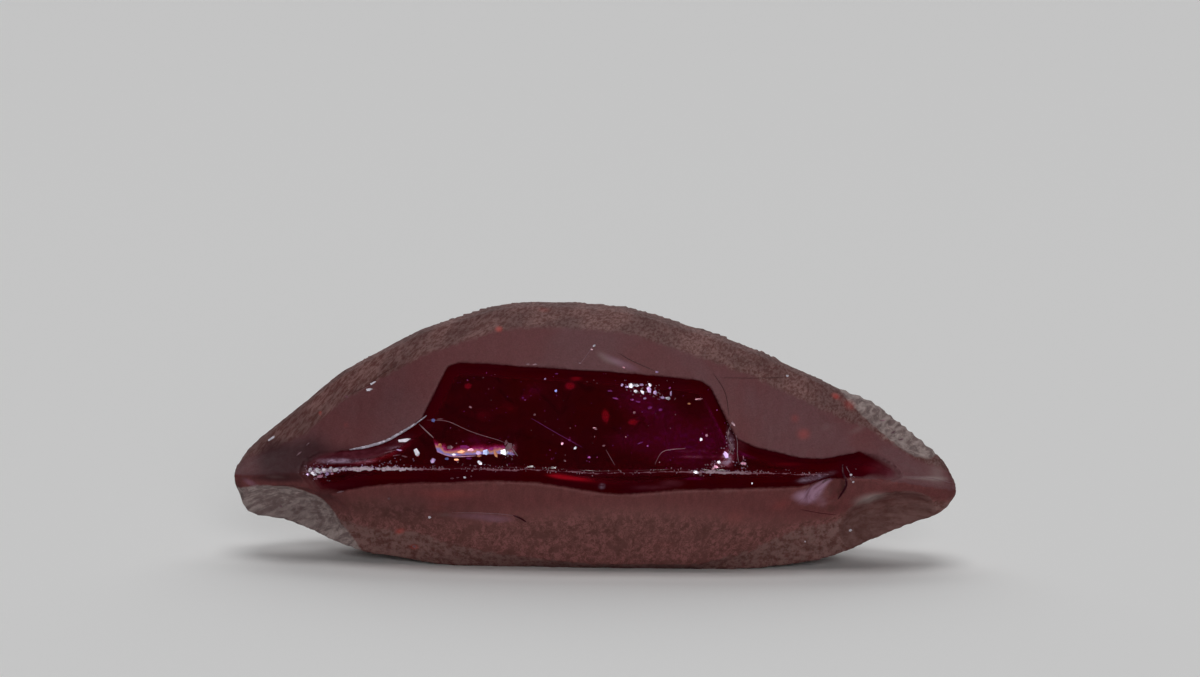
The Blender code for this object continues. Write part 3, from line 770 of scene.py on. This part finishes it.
def add_stains(m, finish, noises, skin):
    """The skin's brown, pale and lilac patches, its painted shade on the left, and the red that shines
    through it.
    """
    stain = m.mix(m.ramp(noises.grain, 0.4, 0.6), finish.rim_brown, skin)
    skin = m.mix(m.ramp(m.mask("brown"), 0.15, 0.9, 0.0, 0.75), skin, stain)
    # Painted shade: the skin turns plum and darker over the left end and the left of both faces
    skin = m.mix(m.ramp(m.mask("painted_shade"), 0.3, 1.2, 0.0, 0.5), skin, finish.plum)
    skin = m.shade(skin, m.ramp(m.mask("painted_shade"), 0.1, 1.2, 1.0, 0.42))
    skin = m.mix(m.ramp(m.mask("pale"), 0.1, 0.9, 0.0, 0.7), skin, finish.chip_pale)
    skin = m.mix(m.ramp(m.mask("lilac"), 0.1, 0.8, 0.0, 0.85), skin, finish.lilac)
    streak = m.noise(3.0, 5.0, 0.70, (1.0, 1.0, 0.30), 52.0, 0.8)
    broken = m.mix(m.ramp(streak, 0.40, 0.60), finish.lilac, finish.lilac_white)
    torn = m.ramp(streak, 0.30, 0.55, 0.35, 1.0)
    skin = m.mix(m.calc("MULTIPLY", m.ramp(m.mask("lilac_break"), 0.20, 0.90), torn), skin, broken)
    return m.mix(m.ramp(m.mask("glow"), 0.15, 1.0, 0.0, 0.75), skin, finish.glow)


def bare_layers(m, finish, zone, clear):
    """What lies over the clear red in the bare zone, as (share, colour, how much it blocks)."""
    flecks = m.calc("MULTIPLY", m.ramp(m.noise(9.0, 4.0, 0.7), 0.45, 0.65, 0.35, 1.0), clear)
    purple = m.calc("MULTIPLY", m.ramp(m.mask("purple"), 0.1, 1.0), flecks)
    flash = m.calc("MULTIPLY", m.ramp(m.mask("flash"), 0.1, 0.9), m.ramp(m.mask("bare"), 0.05, 0.15))
    wisps = m.ramp(m.noise(4.0, 5.0, 0.7, (0.6, 1.0, 1.6)), 0.38, 0.66, 0.15, 1.0)
    plum = m.calc("MULTIPLY", m.ramp(m.mask("plum"), 0.1, 1.0), m.ramp(wisps, 0.2, 1.0, 0.55, 1.0))
    veil = m.calc("MULTIPLY", m.ramp(m.mask("veil"), 0.05, 1.0), wisps)

    wander = m.calc("MULTIPLY_ADD", m.noise(3.0, 3.0, 0.6), 0.30, -0.15)
    film_height = m.calc("ADD", m.mask("split_rise"), wander)
    film = m.calc("MULTIPLY", m.ramp(m.mask("split"), 0.0, 0.03), m.ramp(film_height, 0.34, 0.10))

    keel_height = m.calc("ADD", m.mask("keel"), -0.08)
    keel_near = m.calc("ABSOLUTE", m.calc("MULTIPLY_ADD", m.noise(1.6, 4.0, 0.7), 0.16, keel_height))
    keel_wide = m.ramp(m.noise(4.0, 5.0, 0.75, (1.0, 1.0, 0.6)), 0.32, 0.68, 0.012, 0.100)
    keel_wide = m.calc("MULTIPLY", keel_wide, m.mask("keel_share"))
    on_keel = m.ramp(m.calc("SUBTRACT", keel_wide, keel_near), 0.0, 0.02)
    crushed = m.calc("MULTIPLY", on_keel, m.ramp(zone.bare, 0.2, 0.8, 0.2, 0.85))
    crushed_tone = m.mix(m.ramp(m.mask("keel_share"), 0.5, 0.95), finish.crushed_dull, finish.crushed)

    return {
        "purple": (purple, finish.purple, 0.14),
        "flash": (flash, finish.flash, 0.45),
        "plum": (plum, finish.plum, 0.55),
        "veil": (veil, finish.veil, 0.60),
        "film": (film, m.bands(film_height, FILM_COLOURS), 0.85),
        "crushed": (crushed, crushed_tone, 0.80),
    }


def ruby_material(finish):
    """Frosted skin, worn rims, chips and the bare glassy zone in one shader, with clear red inside."""
    m = Surface("ruby")
    noises = shared_noises(m)
    zone = ragged_zones(m)
    skin = plain_skin(m, finish, zone, noises)
    skin = add_worn_rims(m, finish, zone, noises, skin)
    skin = add_chips(m, finish, zone, noises, skin)
    skin = add_stains(m, finish, noises, skin)

    # The bare zone's edge and the keel are opaque, in a tint darkened with painted shade so that it looks as
    # dark as the clear part
    from_keel = m.calc("ABSOLUTE", m.mask("keel"))
    zone_edge = m.ramp(m.mask("bare"), 0.26, 0.40, 1.0, 0.0)
    wall = m.calc("MAXIMUM", zone_edge, m.ramp(from_keel, 0.05, 0.12, 1.0, 0.0))
    clear = m.calc("SUBTRACT", 1.0, wall)
    deep = m.mix(m.ramp(m.noise(0.7, 4.0, 0.6), 0.40, 0.62), finish.glass, finish.glass_dark)
    deep = m.shade(deep, m.calc("DIVIDE", 1.0, m.calc("MULTIPLY_ADD", wall, PAINTED_EDGE_SHADE, 1.0)))
    base = m.mix(zone.bare, skin, deep)

    through = m.calc("MULTIPLY_ADD", clear, CLEAR_SHARE, -finish.skin_passes)
    passes = m.calc("MULTIPLY_ADD", zone.bare, through, finish.skin_passes)
    layers = bare_layers(m, finish, zone, clear)
    for share, tone, blocks in layers.values():
        base = m.mix(share, base, tone)
        passes = m.calc("MULTIPLY", passes, m.calc("MULTIPLY_ADD", share, -blocks, 1.0))
    passes = m.calc("MULTIPLY", passes, m.calc("MULTIPLY_ADD", zone.thin_chips, -CHIPS_BLOCK, 1.0))

    hazy = m.calc("MAXIMUM", layers["crushed"][0], layers["plum"][0])
    rough = m.calc("MAXIMUM", m.ramp(m.mask("bare"), 0.10, 0.26, 1.0, 0.0), hazy)
    rough = m.calc("MAXIMUM", rough, m.ramp(from_keel, 0.03, 0.09, 1.0, 0.0))
    frost = m.ramp(noises.grain, 0.3, 0.7, 0.42, 0.62)
    height = m.calc("MULTIPLY_ADD", noises.fine, 0.4, noises.grain)
    height = m.calc("MULTIPLY_ADD", noises.hairs, m.calc("MULTIPLY", zone.crest, 1.2), height)
    bump = m.add("ShaderNodeBump", {
        "Height": height, "Strength": m.ramp(zone.bare, 0.0, 1.0, 0.55, 0.03), "Distance": BUMP_HEIGHT * MM,
    }).outputs[0]
    m.set(
        Base_Color=base,
        Roughness=m.calc("MULTIPLY_ADD", rough, frost, GLASS_ROUGHNESS),
        Transmission_Weight=passes,
        Normal=bump,
        IOR=finish.refraction,
        Specular_IOR_Level=m.calc("MULTIPLY_ADD", m.calc("MULTIPLY", zone.bare, wall), -SHEEN, SHEEN),
    )
    inside = m.add("ShaderNodeVolumeAbsorption", {
        "Color": (*finish.depth_red, 1.0), "Density": finish.absorption,
    }).outputs[0]
    m.tree.links.new(inside, m.output.inputs["Volume"])
    return m.material


def new_object(name, mesh):
    obj = bpy.data.objects.new(name, mesh)
    bpy.context.scene.collection.objects.link(obj)
    return obj


def plain_mesh(obj, name):
    """The mesh that an object's modifiers make. The object goes."""
    graph = bpy.context.evaluated_depsgraph_get()
    mesh = bpy.data.meshes.new_from_object(obj.evaluated_get(graph), depsgraph=graph)
    mesh.name = name
    bpy.data.objects.remove(obj)
    return mesh


def part_of_stone(obj):
    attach(obj, "root")
    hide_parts(STONE)


def fine_mesh(stone, step):
    """The solid's surface as an even net of small faces."""
    mesh = bpy.data.meshes.new("coarse stone")
    stone.bm.to_mesh(mesh)
    coarse = new_object("coarse stone", mesh)
    remesh = coarse.modifiers.new("Even net", "REMESH")
    remesh.mode = "VOXEL"
    remesh.voxel_size = step
    fine = plain_mesh(coarse, "crystal_body")
    bpy.data.meshes.remove(mesh)
    return fine


def growth_terraces(x, z, height):
    """Low steps that follow three directions, 60 degrees apart, as on a corundum face."""
    total = np.zeros(len(x))
    for turn, spacing, strength in TERRACES:
        a = math.radians(turn)
        run = (x * math.cos(a) + z * math.sin(a)) / spacing
        part = run - np.floor(run)
        total += strength * height * (part - smooth_step(0.90, 0.98, part))
    return total


def etch_pits(x, z, form):
    """The depth of three-sided pits, all turned the same way, at each point."""
    chance = np.random.default_rng(form.seed)
    depth = np.zeros(len(x))
    smallest, largest = PIT_SIZES
    for _ in range(form.trigon_count):
        px = chance.uniform(*PIT_X)
        pz = chance.uniform(*PIT_Z)
        size = smallest + (largest - smallest) * chance.random() ** 2
        inside = np.full(len(x), 1e9)
        for turn in PIT_WALLS:
            a = math.radians(turn)
            inside = np.minimum(inside, size / 2 - (x - px) * math.cos(a) - (z - pz) * math.sin(a))
        deepest = form.trigon_depth / MM * min(1.0, 2.0 * size)
        depth = np.maximum(depth, deepest * smooth_step(0.0, PIT_SLOPE, inside))
    return depth


def relief(points, normals, marks, form):
    """How far each point of the skin stands out from the plain solid, in millimetres."""
    x, y, z = points.T
    bare = smooth_step(-0.02, 0.05, marks["bare"])
    skin = 1.0 - bare
    crest = smooth_step(-0.10, 0.25, marks["crest"])
    under = smooth_step(-0.10, 0.25, marks["under"])
    chips = {name: smooth_step(0.0, CHIP_BAND / 2, marks[name]) for name in CHIPS}
    on_chip = np.clip(sum(chips.values()), 0.0, 1.0)
    plain = skin * (1.0 - on_chip)
    lower_face = plain * (1.0 - under) * np.clip(marks["below"] * 4.0, 0.0, 1.0)
    back = plain * smooth_step(0.45, 0.7, normals[:, 1])

    lumps = fractal(points, (1.4, 1.4, 1.4), 3)
    grain = fractal(points, (6.5, 6.5, 6.5), 3)
    crest_turn = np.array(Matrix.Rotation(math.radians(35.0), 3, "Y"))
    streaks = fractal(points @ crest_turn, (6.0, 4.5, 2.2), 4)
    low_lumps = fractal(points, (3.6, 3.6, 3.6), 4)
    growth_lines = fractal(points, (7.0, 1.0, 0.5), 2)
    out = plain * (form.swell / MM * lumps + form.grain / MM * grain)
    out += plain * crest * form.rim_relief / MM * (streaks - 0.25)
    out += plain * under * form.rim_relief / MM * 0.7 * (low_lumps - 0.2)
    out += lower_face * form.striae_height / MM * growth_lines
    out += back * (growth_terraces(x, z, form.terrace_height / MM) - etch_pits(x, z, form))
    out += on_chip * form.grain / MM * 0.8 * grain
    for name, ((from_x, from_z), strength) in RIPPLES.items():
        far = np.hypot(x - from_x, z - from_z)
        wave = np.sin(2.0 * math.pi * (far / (form.ripple_spacing / MM) + 0.5 * lumps))
        out += chips[name] * strength * form.ripple_height / MM * wave
    near_keel = np.exp(-((marks["keel"] / KEEL_REACH) ** 2)) * marks["keel_share"]
    bites = np.clip(fractal(points, (3.0, 3.0, 6.0), 4) + 0.45, 0.0, 1.3)
    out -= near_keel * form.keel_bite / MM * bites
    out += bare * BARE_SWELL * lumps
    return out


def surface_marks(points, normals):
    """What each point of the surface is near to, for the relief and for the material."""
    x, y, z = points.T
    front = (normals[:, 1] < 0.30) & (y < 0.0)
    crest_z = along(CREST, x) - along(CREST_RIM, x)
    under_z = along(UNDERSIDE, x) + along(UNDER_RIM, x)
    keel_z = along(KEEL, x)
    crushed = along(KEEL_CRUSHED, x)
    on_keel = smooth_step(GRIT_REACH, 0.0, np.abs(z - keel_z - GRIT_RISE))
    low_down = smooth_step(2.4, 0.6, z) + smooth_step(0.3, -0.1, z - under_z)
    marks = {
        "bare": np.where(front, inside_distance(BARE_ZONE, x, z), -1.0),
        "edge_width": along(EDGE_WIDTHS, x),
        "keel": np.where(front, z - keel_z, 5.0),
        "keel_share": np.where(front, crushed, 0.0),
        "grit": np.where(front, crushed * on_keel + patches(GRIT_PATCHES, x, z), 0.0),
        "split": np.where(front, inside_distance(SPLIT, x, z), -1.0),
        "split_rise": z - along(SPLIT_FLOOR, x),
        "crest": z - crest_z,
        "under": under_z - z,
        "below": np.where(y < 0.6, keel_z - z, -1.0),
        "low_mottle": np.clip(0.5 * patches(HIGH_MOTTLE, x, z) + low_down, 0.0, 1.5),
    }
    for name, stops in FRONT_PATCHES.items():
        marks[name] = np.where(front, patches(stops, x, z), 0.0)
    for name in CHIPS:
        marks[name] = CHIP_BAND - chip_distance(name, points)
    # The thin chips show their outline from the front and fade out unevenly behind the crest
    behind = 0.40 + 0.25 * fractal(points, (1.2, 1.2, 1.2), 4) - y
    for name, outline in (("left_chip", LEFT_BREAK), ("right_chip", RIGHT_BREAK)):
        seen = np.minimum(inside_distance(outline, x, z), behind)
        marks[name] = np.where(y < 0.8, np.clip(seen, -CHIP_BAND, CHIP_BAND), marks[name])
    return marks


def build_body(stone, form, finish):
    mesh = fine_mesh(stone, form.mesh_step / MM)
    coarse = np.zeros(len(mesh.vertices) * 3, np.float32)
    mesh.vertices.foreach_get("co", coarse)
    points, normals = stone.settle(coarse.reshape(-1, 3).astype(float))
    mesh.vertices.foreach_set("co", points.astype(np.float32).ravel())
    mesh.update()
    outwards = np.zeros(len(mesh.vertices) * 3, np.float32)
    mesh.vertex_normals.foreach_get("vector", outwards)
    marks = surface_marks(points, normals)
    raised = points + outwards.reshape(-1, 3) * relief(points, normals, marks, form)[:, None]
    raised[:, 2] = np.maximum(raised[:, 2], 0.0)
    mesh.vertices.foreach_set("co", (raised * MM).astype(np.float32).ravel())
    for name, values in marks.items():
        mesh.attributes.new(name, "FLOAT", "POINT").data.foreach_set("value", values.astype(np.float32))
    mesh.update()
    mesh.shade_smooth()
    mesh.materials.clear()
    mesh.materials.append(ruby_material(finish))
    part_of_stone(new_object("crystal_body", mesh))


class RUBY_OT_body(bpy.types.Operator):
    """Build the stone's body with its relief and finish"""

    bl_idname = "ruby.body"
    bl_label = "Crystal body"

    def execute(self, context):
        scene = context.scene
        build_body(Stone(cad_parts[STONE]), scene.ruby_form, scene.ruby_finish)
        return {"FINISHED"}


def finished_body():
    """The body, which the glints lie on."""
    body = bpy.data.objects.get("crystal_body")
    if body is None:
        raise RuntimeError("build the crystal body first")
    return body


def geometry_tree(name, inputs):
    """A geometry tree with named inputs after its geometry, and its input node."""
    tree = bpy.data.node_groups.new(name, "GeometryNodeTree")
    tree.interface.new_socket("Geometry", in_out="INPUT", socket_type="NodeSocketGeometry")
    tree.interface.new_socket("Geometry", in_out="OUTPUT", socket_type="NodeSocketGeometry")
    for label, kind in inputs.items():
        tree.interface.new_socket(label, in_out="INPUT", socket_type=kind)
    nodes = Nodes(tree)
    return nodes, nodes.add("NodeGroupInput").outputs


def finish_tree(nodes, geometry, material):
    """Ends a geometry tree with its material."""
    painted = nodes.add("GeometryNodeSetMaterial", {0: geometry, 2: material}).outputs[0]
    nodes.add("NodeGroupOutput", {"Geometry": painted})
    return nodes.tree


def read(nodes, name, kind="FLOAT_VECTOR"):
    """An attribute of the points, inside a geometry tree."""
    return nodes.add("GeometryNodeInputNamedAttribute", {0: name}, data_type=kind).outputs[0]


def glint_piece(name, mesh, tree, values):
    """A piece of the stone that a geometry tree makes from a mesh."""
    source = new_object(name, mesh)
    modifier = source.modifiers.new(name, "NODES")
    modifier.node_group = tree
    sockets = {s.name: s.identifier for s in tree.interface.items_tree if s.in_out == "INPUT"}
    for label, value in values.items():
        modifier[sockets[label]] = value
    piece = new_object(name, plain_mesh(source, name))
    piece.name = name
    part_of_stone(piece)


def marked_points(name, places, edges, marks):
    """A mesh of points, placed in millimetres, each with its marks of one value or three."""
    mesh = bpy.data.meshes.new(name)
    mesh.from_pydata([Vector(p) * MM for p in places], edges, [])
    for mark, values in marks.items():
        values = np.array(values, np.float32)
        kind, field = ("FLOAT", "value") if values.ndim == 1 else ("FLOAT_VECTOR", "vector")
        mesh.attributes.new(mark, kind, "POINT").data.foreach_set(field, values.ravel())
    return mesh


def glint_material(name, metallic, roughness):
    """Bright broken mineral, in the tint that each point carries."""
    m = Surface(name)
    tone = m.shade(m.tint("tint"), m.ramp(m.noise(14.0, 2.0), 0.3, 0.7, 0.80, 1.05))
    m.set(Base_Color=tone, Metallic=metallic, Roughness=roughness)
    return m.material


def lying(normal, turn, lean):
    """How a flat piece lies on a surface, as angles, when it leans towards the direction that glints."""
    up = (normal * (1.0 - lean) + GLINT_DIRECTION * lean).normalized()
    a = math.radians(turn)
    long = Vector((math.cos(a), 0.0, math.sin(a)))
    long = (long - up * long.dot(up)).normalized()
    return Matrix((long, up.cross(long), up)).transposed().to_euler()


def dust(glints):
    """Fine motes at random in the bare zone, in the form of the flake list."""
    chance = np.random.default_rng(glints.seed)
    motes = []
    while len(motes) < glints.dust_count:
        x = chance.uniform(*MOTE_X)
        z = chance.uniform(*MOTE_Z)
        size = chance.uniform(*MOTE_SIZES)
        tint = str(chance.choice(MOTE_TINTS))
        if inside_distance(BARE_ZONE, np.array([x]), np.array([z]))[0] > MOTE_MARGIN:
            motes.append((x, z, size, size, 0.0, tint))
    return motes


def flake_tree():
    """Thin jagged plates on points. Each point carries the turn, size and tint of its plate."""
    nodes, given = geometry_tree(
        "Flakes", {"Corners": "NodeSocketInt", "Jag": "NodeSocketFloat", "Material": "NodeSocketMaterial"},
    )
    plate = nodes.add("GeometryNodeMeshCylinder", {0: given["Corners"], 3: 1.0, 4: 1.0}).outputs[0]
    turn = nodes.add("FunctionNodeEulerToRotation", {0: read(nodes, "turn")}).outputs[0]
    placed = nodes.add(
        "GeometryNodeInstanceOnPoints", {0: given["Geometry"], 2: plate, 5: turn, 6: read(nodes, "size")},
    ).outputs[0]
    real = nodes.add("GeometryNodeRealizeInstances", {0: placed}).outputs[0]
    jitter = nodes.add("ShaderNodeTexNoise", {"Scale": 11000.0, "Detail": 2.0}).outputs["Color"]
    centred = nodes.add("ShaderNodeVectorMath", {0: jitter, 1: (0.5,) * 3}, operation="SUBTRACT").outputs[0]
    offset = nodes.scaled(centred, given["Jag"])
    jagged = nodes.add("GeometryNodeSetPosition", {0: real, 3: offset}).outputs[0]
    return finish_tree(nodes, jagged, given["Material"])


def build_flakes(surface, glints):
    places, turns, sizes, tints = [], [], [], []
    for x, z, half_length, half_width, turn, tint in FLAKES + dust(glints):
        place, normal = surface.front(x, z)
        places.append(place + normal * (0.25 * half_width))
        turns.append(lying(normal, turn, FLAKE_LEAN if tint in GLINTING else 0.0))
        sizes.append((half_length * MM, half_width * MM, glints.flake_thickness))
        tints.append(TINTS[tint])
    mesh = marked_points("flake points", places, [], {"turn": turns, "size": sizes, "tint": tints})
    glint_piece("flakes", mesh, flake_tree(), {
        "Corners": FLAKE_CORNERS, "Jag": FLAKE_JAG * MM, "Material": glint_material("flake", 0.45, 0.30),
    })


def grain_tree():
    """Small broken grains over the places of a surface that are marked with grit."""
    nodes, given = geometry_tree("Grains", {
        "Density": "NodeSocketFloat", "Size": "NodeSocketFloat", "Seed": "NodeSocketInt",
        "Dull": "NodeSocketColor", "Bright": "NodeSocketColor", "Material": "NodeSocketMaterial",
    })
    density = nodes.calc("MULTIPLY", read(nodes, "grit", "FLOAT"), given["Density"])
    spread = nodes.add("GeometryNodeDistributePointsOnFaces", {
        0: given["Geometry"], 4: density, 6: given["Seed"],
    }).outputs[0]
    grain = nodes.add("GeometryNodeMeshIcoSphere", {0: given["Size"], 1: 1}).outputs[0]

    def random_vector(low, high):
        return nodes.add("FunctionNodeRandomValue", {
            0: low, 1: high, 8: given["Seed"],
        }, data_type="FLOAT_VECTOR").outputs[0]

    turn = nodes.add("FunctionNodeEulerToRotation", {0: random_vector((0.0,) * 3, (6.28,) * 3)}).outputs[0]
    placed = nodes.add("GeometryNodeInstanceOnPoints", {
        0: spread, 2: grain, 5: turn, 6: random_vector(*GRAIN_SHAPES),
    }).outputs[0]
    # Bright grains are rare, and most common where the keel is crushed most
    chance = nodes.add("FunctionNodeRandomValue", {2: 0.0, 3: 1.0, 8: 5}, data_type="FLOAT").outputs[1]
    brightness = nodes.calc("MULTIPLY", chance, read(nodes, "keel_share", "FLOAT"))
    brightness = nodes.calc("POWER", brightness, 2.0)
    tone = nodes.add("ShaderNodeMix", {
        0: brightness, 6: given["Dull"], 7: given["Bright"],
    }, data_type="RGBA").outputs[2]
    tinted = nodes.add("GeometryNodeStoreNamedAttribute", {
        0: placed, 2: "tint", 3: tone,
    }, data_type="FLOAT_COLOR", domain="INSTANCE").outputs[0]
    real = nodes.add("GeometryNodeRealizeInstances", {0: tinted}).outputs[0]
    return finish_tree(nodes, real, given["Material"])


def build_grains(body, glints):
    glint_piece("keel_grains", body.data.copy(), grain_tree(), {
        "Density": glints.grain_density / MM**2, "Size": glints.grain_size, "Seed": glints.seed,
        "Dull": (*TINTS["haze"], 1.0), "Bright": (*TINTS["lilac"], 1.0),
        "Material": glint_material("grain", 0.25, 0.35),
    })


def line_places(stops, step):
    """Points every step along a path through the stops, with its corners rounded off."""
    path = np.array(stops)
    run = np.concatenate([[0.0], np.cumsum(np.linalg.norm(np.diff(path, axis=0), axis=1))])
    at = np.linspace(0.0, run[-1], max(4, int(run[-1] / step)))
    line = np.column_stack([np.interp(at, run, path[:, 0]), np.interp(at, run, path[:, 1])])
    for _ in range(HAIRLINE_ROUNDING):
        line[1:-1] = 0.25 * line[:-2] + 0.5 * line[1:-1] + 0.25 * line[2:]
    return line


def hairline_tree():
    """Round lines along the edges of a mesh, each point with its own thickness."""
    nodes, given = geometry_tree("Hairlines", {"Sides": "NodeSocketInt", "Material": "NodeSocketMaterial"})
    line = nodes.add("GeometryNodeMeshToCurve", {0: given["Geometry"]}).outputs[0]
    ring = nodes.add("GeometryNodeCurvePrimitiveCircle", {0: given["Sides"], 4: 1.0}).outputs[0]
    tube = nodes.add("GeometryNodeCurveToMesh", {
        0: line, 1: ring, 2: read(nodes, "half_width", "FLOAT"), 3: True,
    }).outputs[0]
    real = nodes.add("GeometryNodeRealizeInstances", {0: tube}).outputs[0]
    return finish_tree(nodes, real, given["Material"])


def build_hairlines(surface):
    places, edges, widths, tints = [], [], [], []
    for half_width, tint, stops in HAIRLINES:
        line = line_places(stops, HAIRLINE_STEP)
        for i, (x, z) in enumerate(line):
            place, normal = surface.front(x, z)
            if i:
                edges.append((len(places) - 1, len(places)))
            places.append(place + normal * (0.15 * half_width))
            from_tip = min(1.0, 6.0 * min(i, len(line) - 1 - i) / len(line))
            taper = HAIRLINE_TIP + (1.0 - HAIRLINE_TIP) * from_tip
            widths.append(half_width * taper * MM)
            tints.append(TINTS[tint])
    mesh = marked_points("hairline points", places, edges, {"half_width": widths, "tint": tints})
    glint_piece("hairlines", mesh, hairline_tree(), {
        "Sides": HAIRLINE_SIDES, "Material": glint_material("hairline", 0.3, 0.3),
    })


class RUBY_OT_flakes(bpy.types.Operator):
    """Build the glinting flakes and the fine motes"""

    bl_idname = "ruby.flakes"
    bl_label = "Flakes"

    def execute(self, context):
        build_flakes(Stone(finished_body()), context.scene.ruby_glints)
        return {"FINISHED"}


class RUBY_OT_grains(bpy.types.Operator):
    """Build the crushed grains along the keel"""

    bl_idname = "ruby.grains"
    bl_label = "Keel grains"

    def execute(self, context):
        build_grains(finished_body(), context.scene.ruby_glints)
        return {"FINISHED"}


class RUBY_OT_hairlines(bpy.types.Operator):
    """Build the bright edges, one of them a painted highlight along a lip, and fine cracks"""

    bl_idname = "ruby.hairlines"
    bl_label = "Hairlines"

    def execute(self, context):
        build_hairlines(Stone(finished_body()))
        return {"FINISHED"}


def build_floor(stage):
    m = Surface("pale floor")
    tone = m.mix(m.noise(0.02, 2.0), (stage.floor_tone,) * 3, (stage.floor_tone * 0.995,) * 3)
    m.set(Base_Color=tone, Roughness=0.9, Specular_IOR_Level=0.1)
    bm = bmesh.new()
    bmesh.ops.create_grid(bm, x_segments=2, y_segments=2, size=FLOOR_HALF_WIDTH)
    mesh = bpy.data.meshes.new("floor")
    bm.to_mesh(mesh)
    bm.free()
    mesh.materials.append(m.material)
    floor = new_object("floor", mesh)
    floor.visible_glossy = False


def soft_light(name, light, power):
    """A soft light that faces the stone."""
    way, distance, wide, high = light
    lamp = bpy.data.lights.new(name, "AREA")
    lamp.energy = power
    lamp.shape = "RECTANGLE"
    lamp.size = wide
    lamp.size_y = high
    obj = new_object(name, lamp)
    obj.location = way * distance
    obj.rotation_euler = (-way).to_track_quat("-Z", "Y").to_euler()


def build_lights(stage):
    soft_light("back light", BACK_LIGHT, stage.back_power)
    soft_light("top light", TOP_LIGHT, stage.top_power)
    soft_light("front fill", FRONT_FILL, stage.fill_power)
    world = bpy.data.worlds.new("dim room")
    world.use_nodes = True
    background = world.node_tree.nodes["Background"]
    background.inputs["Color"].default_value = (ROOM_TONE, ROOM_TONE, ROOM_TONE, 1.0)
    bpy.context.scene.world = world


CAMERA_TARGET = Vector((0.08, -1.0, 7.0)) * MM


def build_camera(stage):
    lens = bpy.data.cameras.new("camera")
    lens.lens = stage.lens
    lens.clip_start = 1.0 * MM
    lens.clip_end = 20.0
    camera = new_object("camera", lens)
    back = direction(0.0, math.degrees(stage.elevation))
    camera.location = CAMERA_TARGET + back * stage.distance
    look = (-back).to_track_quat("-Z", "Y").to_matrix() @ Matrix.Rotation(stage.roll, 3, "Z")
    camera.rotation_euler = look.to_euler()
    bpy.context.scene.camera = camera
    bpy.context.scene.view_settings.view_transform = "Standard"


class RUBY_OT_stage(bpy.types.Operator):
    """Build the floor, the soft lights and the camera"""

    bl_idname = "ruby.stage"
    bl_label = "Stage"

    def execute(self, context):
        stage = context.scene.ruby_stage
        build_floor(stage)
        build_lights(stage)
        build_camera(stage)
        return {"FINISHED"}


class RUBY_PT_panel(bpy.types.Panel):
    """Lists the steps of the ruby crystal"""

    bl_idname = "RUBY_PT_panel"
    bl_label = "Raw Ruby Crystal"
    bl_space_type = "VIEW_3D"
    bl_region_type = "UI"
    bl_category = "Ruby"

    def draw(self, context):
        for settings, operators in PANEL_ROWS:
            box = self.layout.box()
            group = getattr(context.scene, settings)
            for name in group.__annotations__:
                box.prop(group, name)
            for operator in operators:
                box.operator(operator.bl_idname)


SETTINGS = {
    "ruby_form": RubyFormSettings,
    "ruby_finish": RubyFinishSettings,
    "ruby_glints": RubyGlintSettings,
    "ruby_stage": RubyStageSettings,
}
PANEL_ROWS = [
    ("ruby_form", []),
    ("ruby_finish", [RUBY_OT_body]),
    ("ruby_glints", [RUBY_OT_flakes, RUBY_OT_grains, RUBY_OT_hairlines]),
    ("ruby_stage", [RUBY_OT_stage]),
]
OPERATORS = [RUBY_OT_body, RUBY_OT_flakes, RUBY_OT_grains, RUBY_OT_hairlines, RUBY_OT_stage]


def register():
    for cls in (*SETTINGS.values(), *OPERATORS, RUBY_PT_panel):
        bpy.utils.register_class(cls)
    for name, cls in SETTINGS.items():
        setattr(bpy.types.Scene, name, PointerProperty(type=cls))


def unregister():
    for name in SETTINGS:
        delattr(bpy.types.Scene, name)
    for cls in (RUBY_PT_panel, *reversed(OPERATORS), *reversed(list(SETTINGS.values()))):
        bpy.utils.unregister_class(cls)


def main():
    register()
    bpy.ops.ruby.stage()
    bpy.ops.ruby.body()
    bpy.ops.ruby.flakes()
    bpy.ops.ruby.grains()
    bpy.ops.ruby.hairlines()


if __name__ == "__main__":
    main()
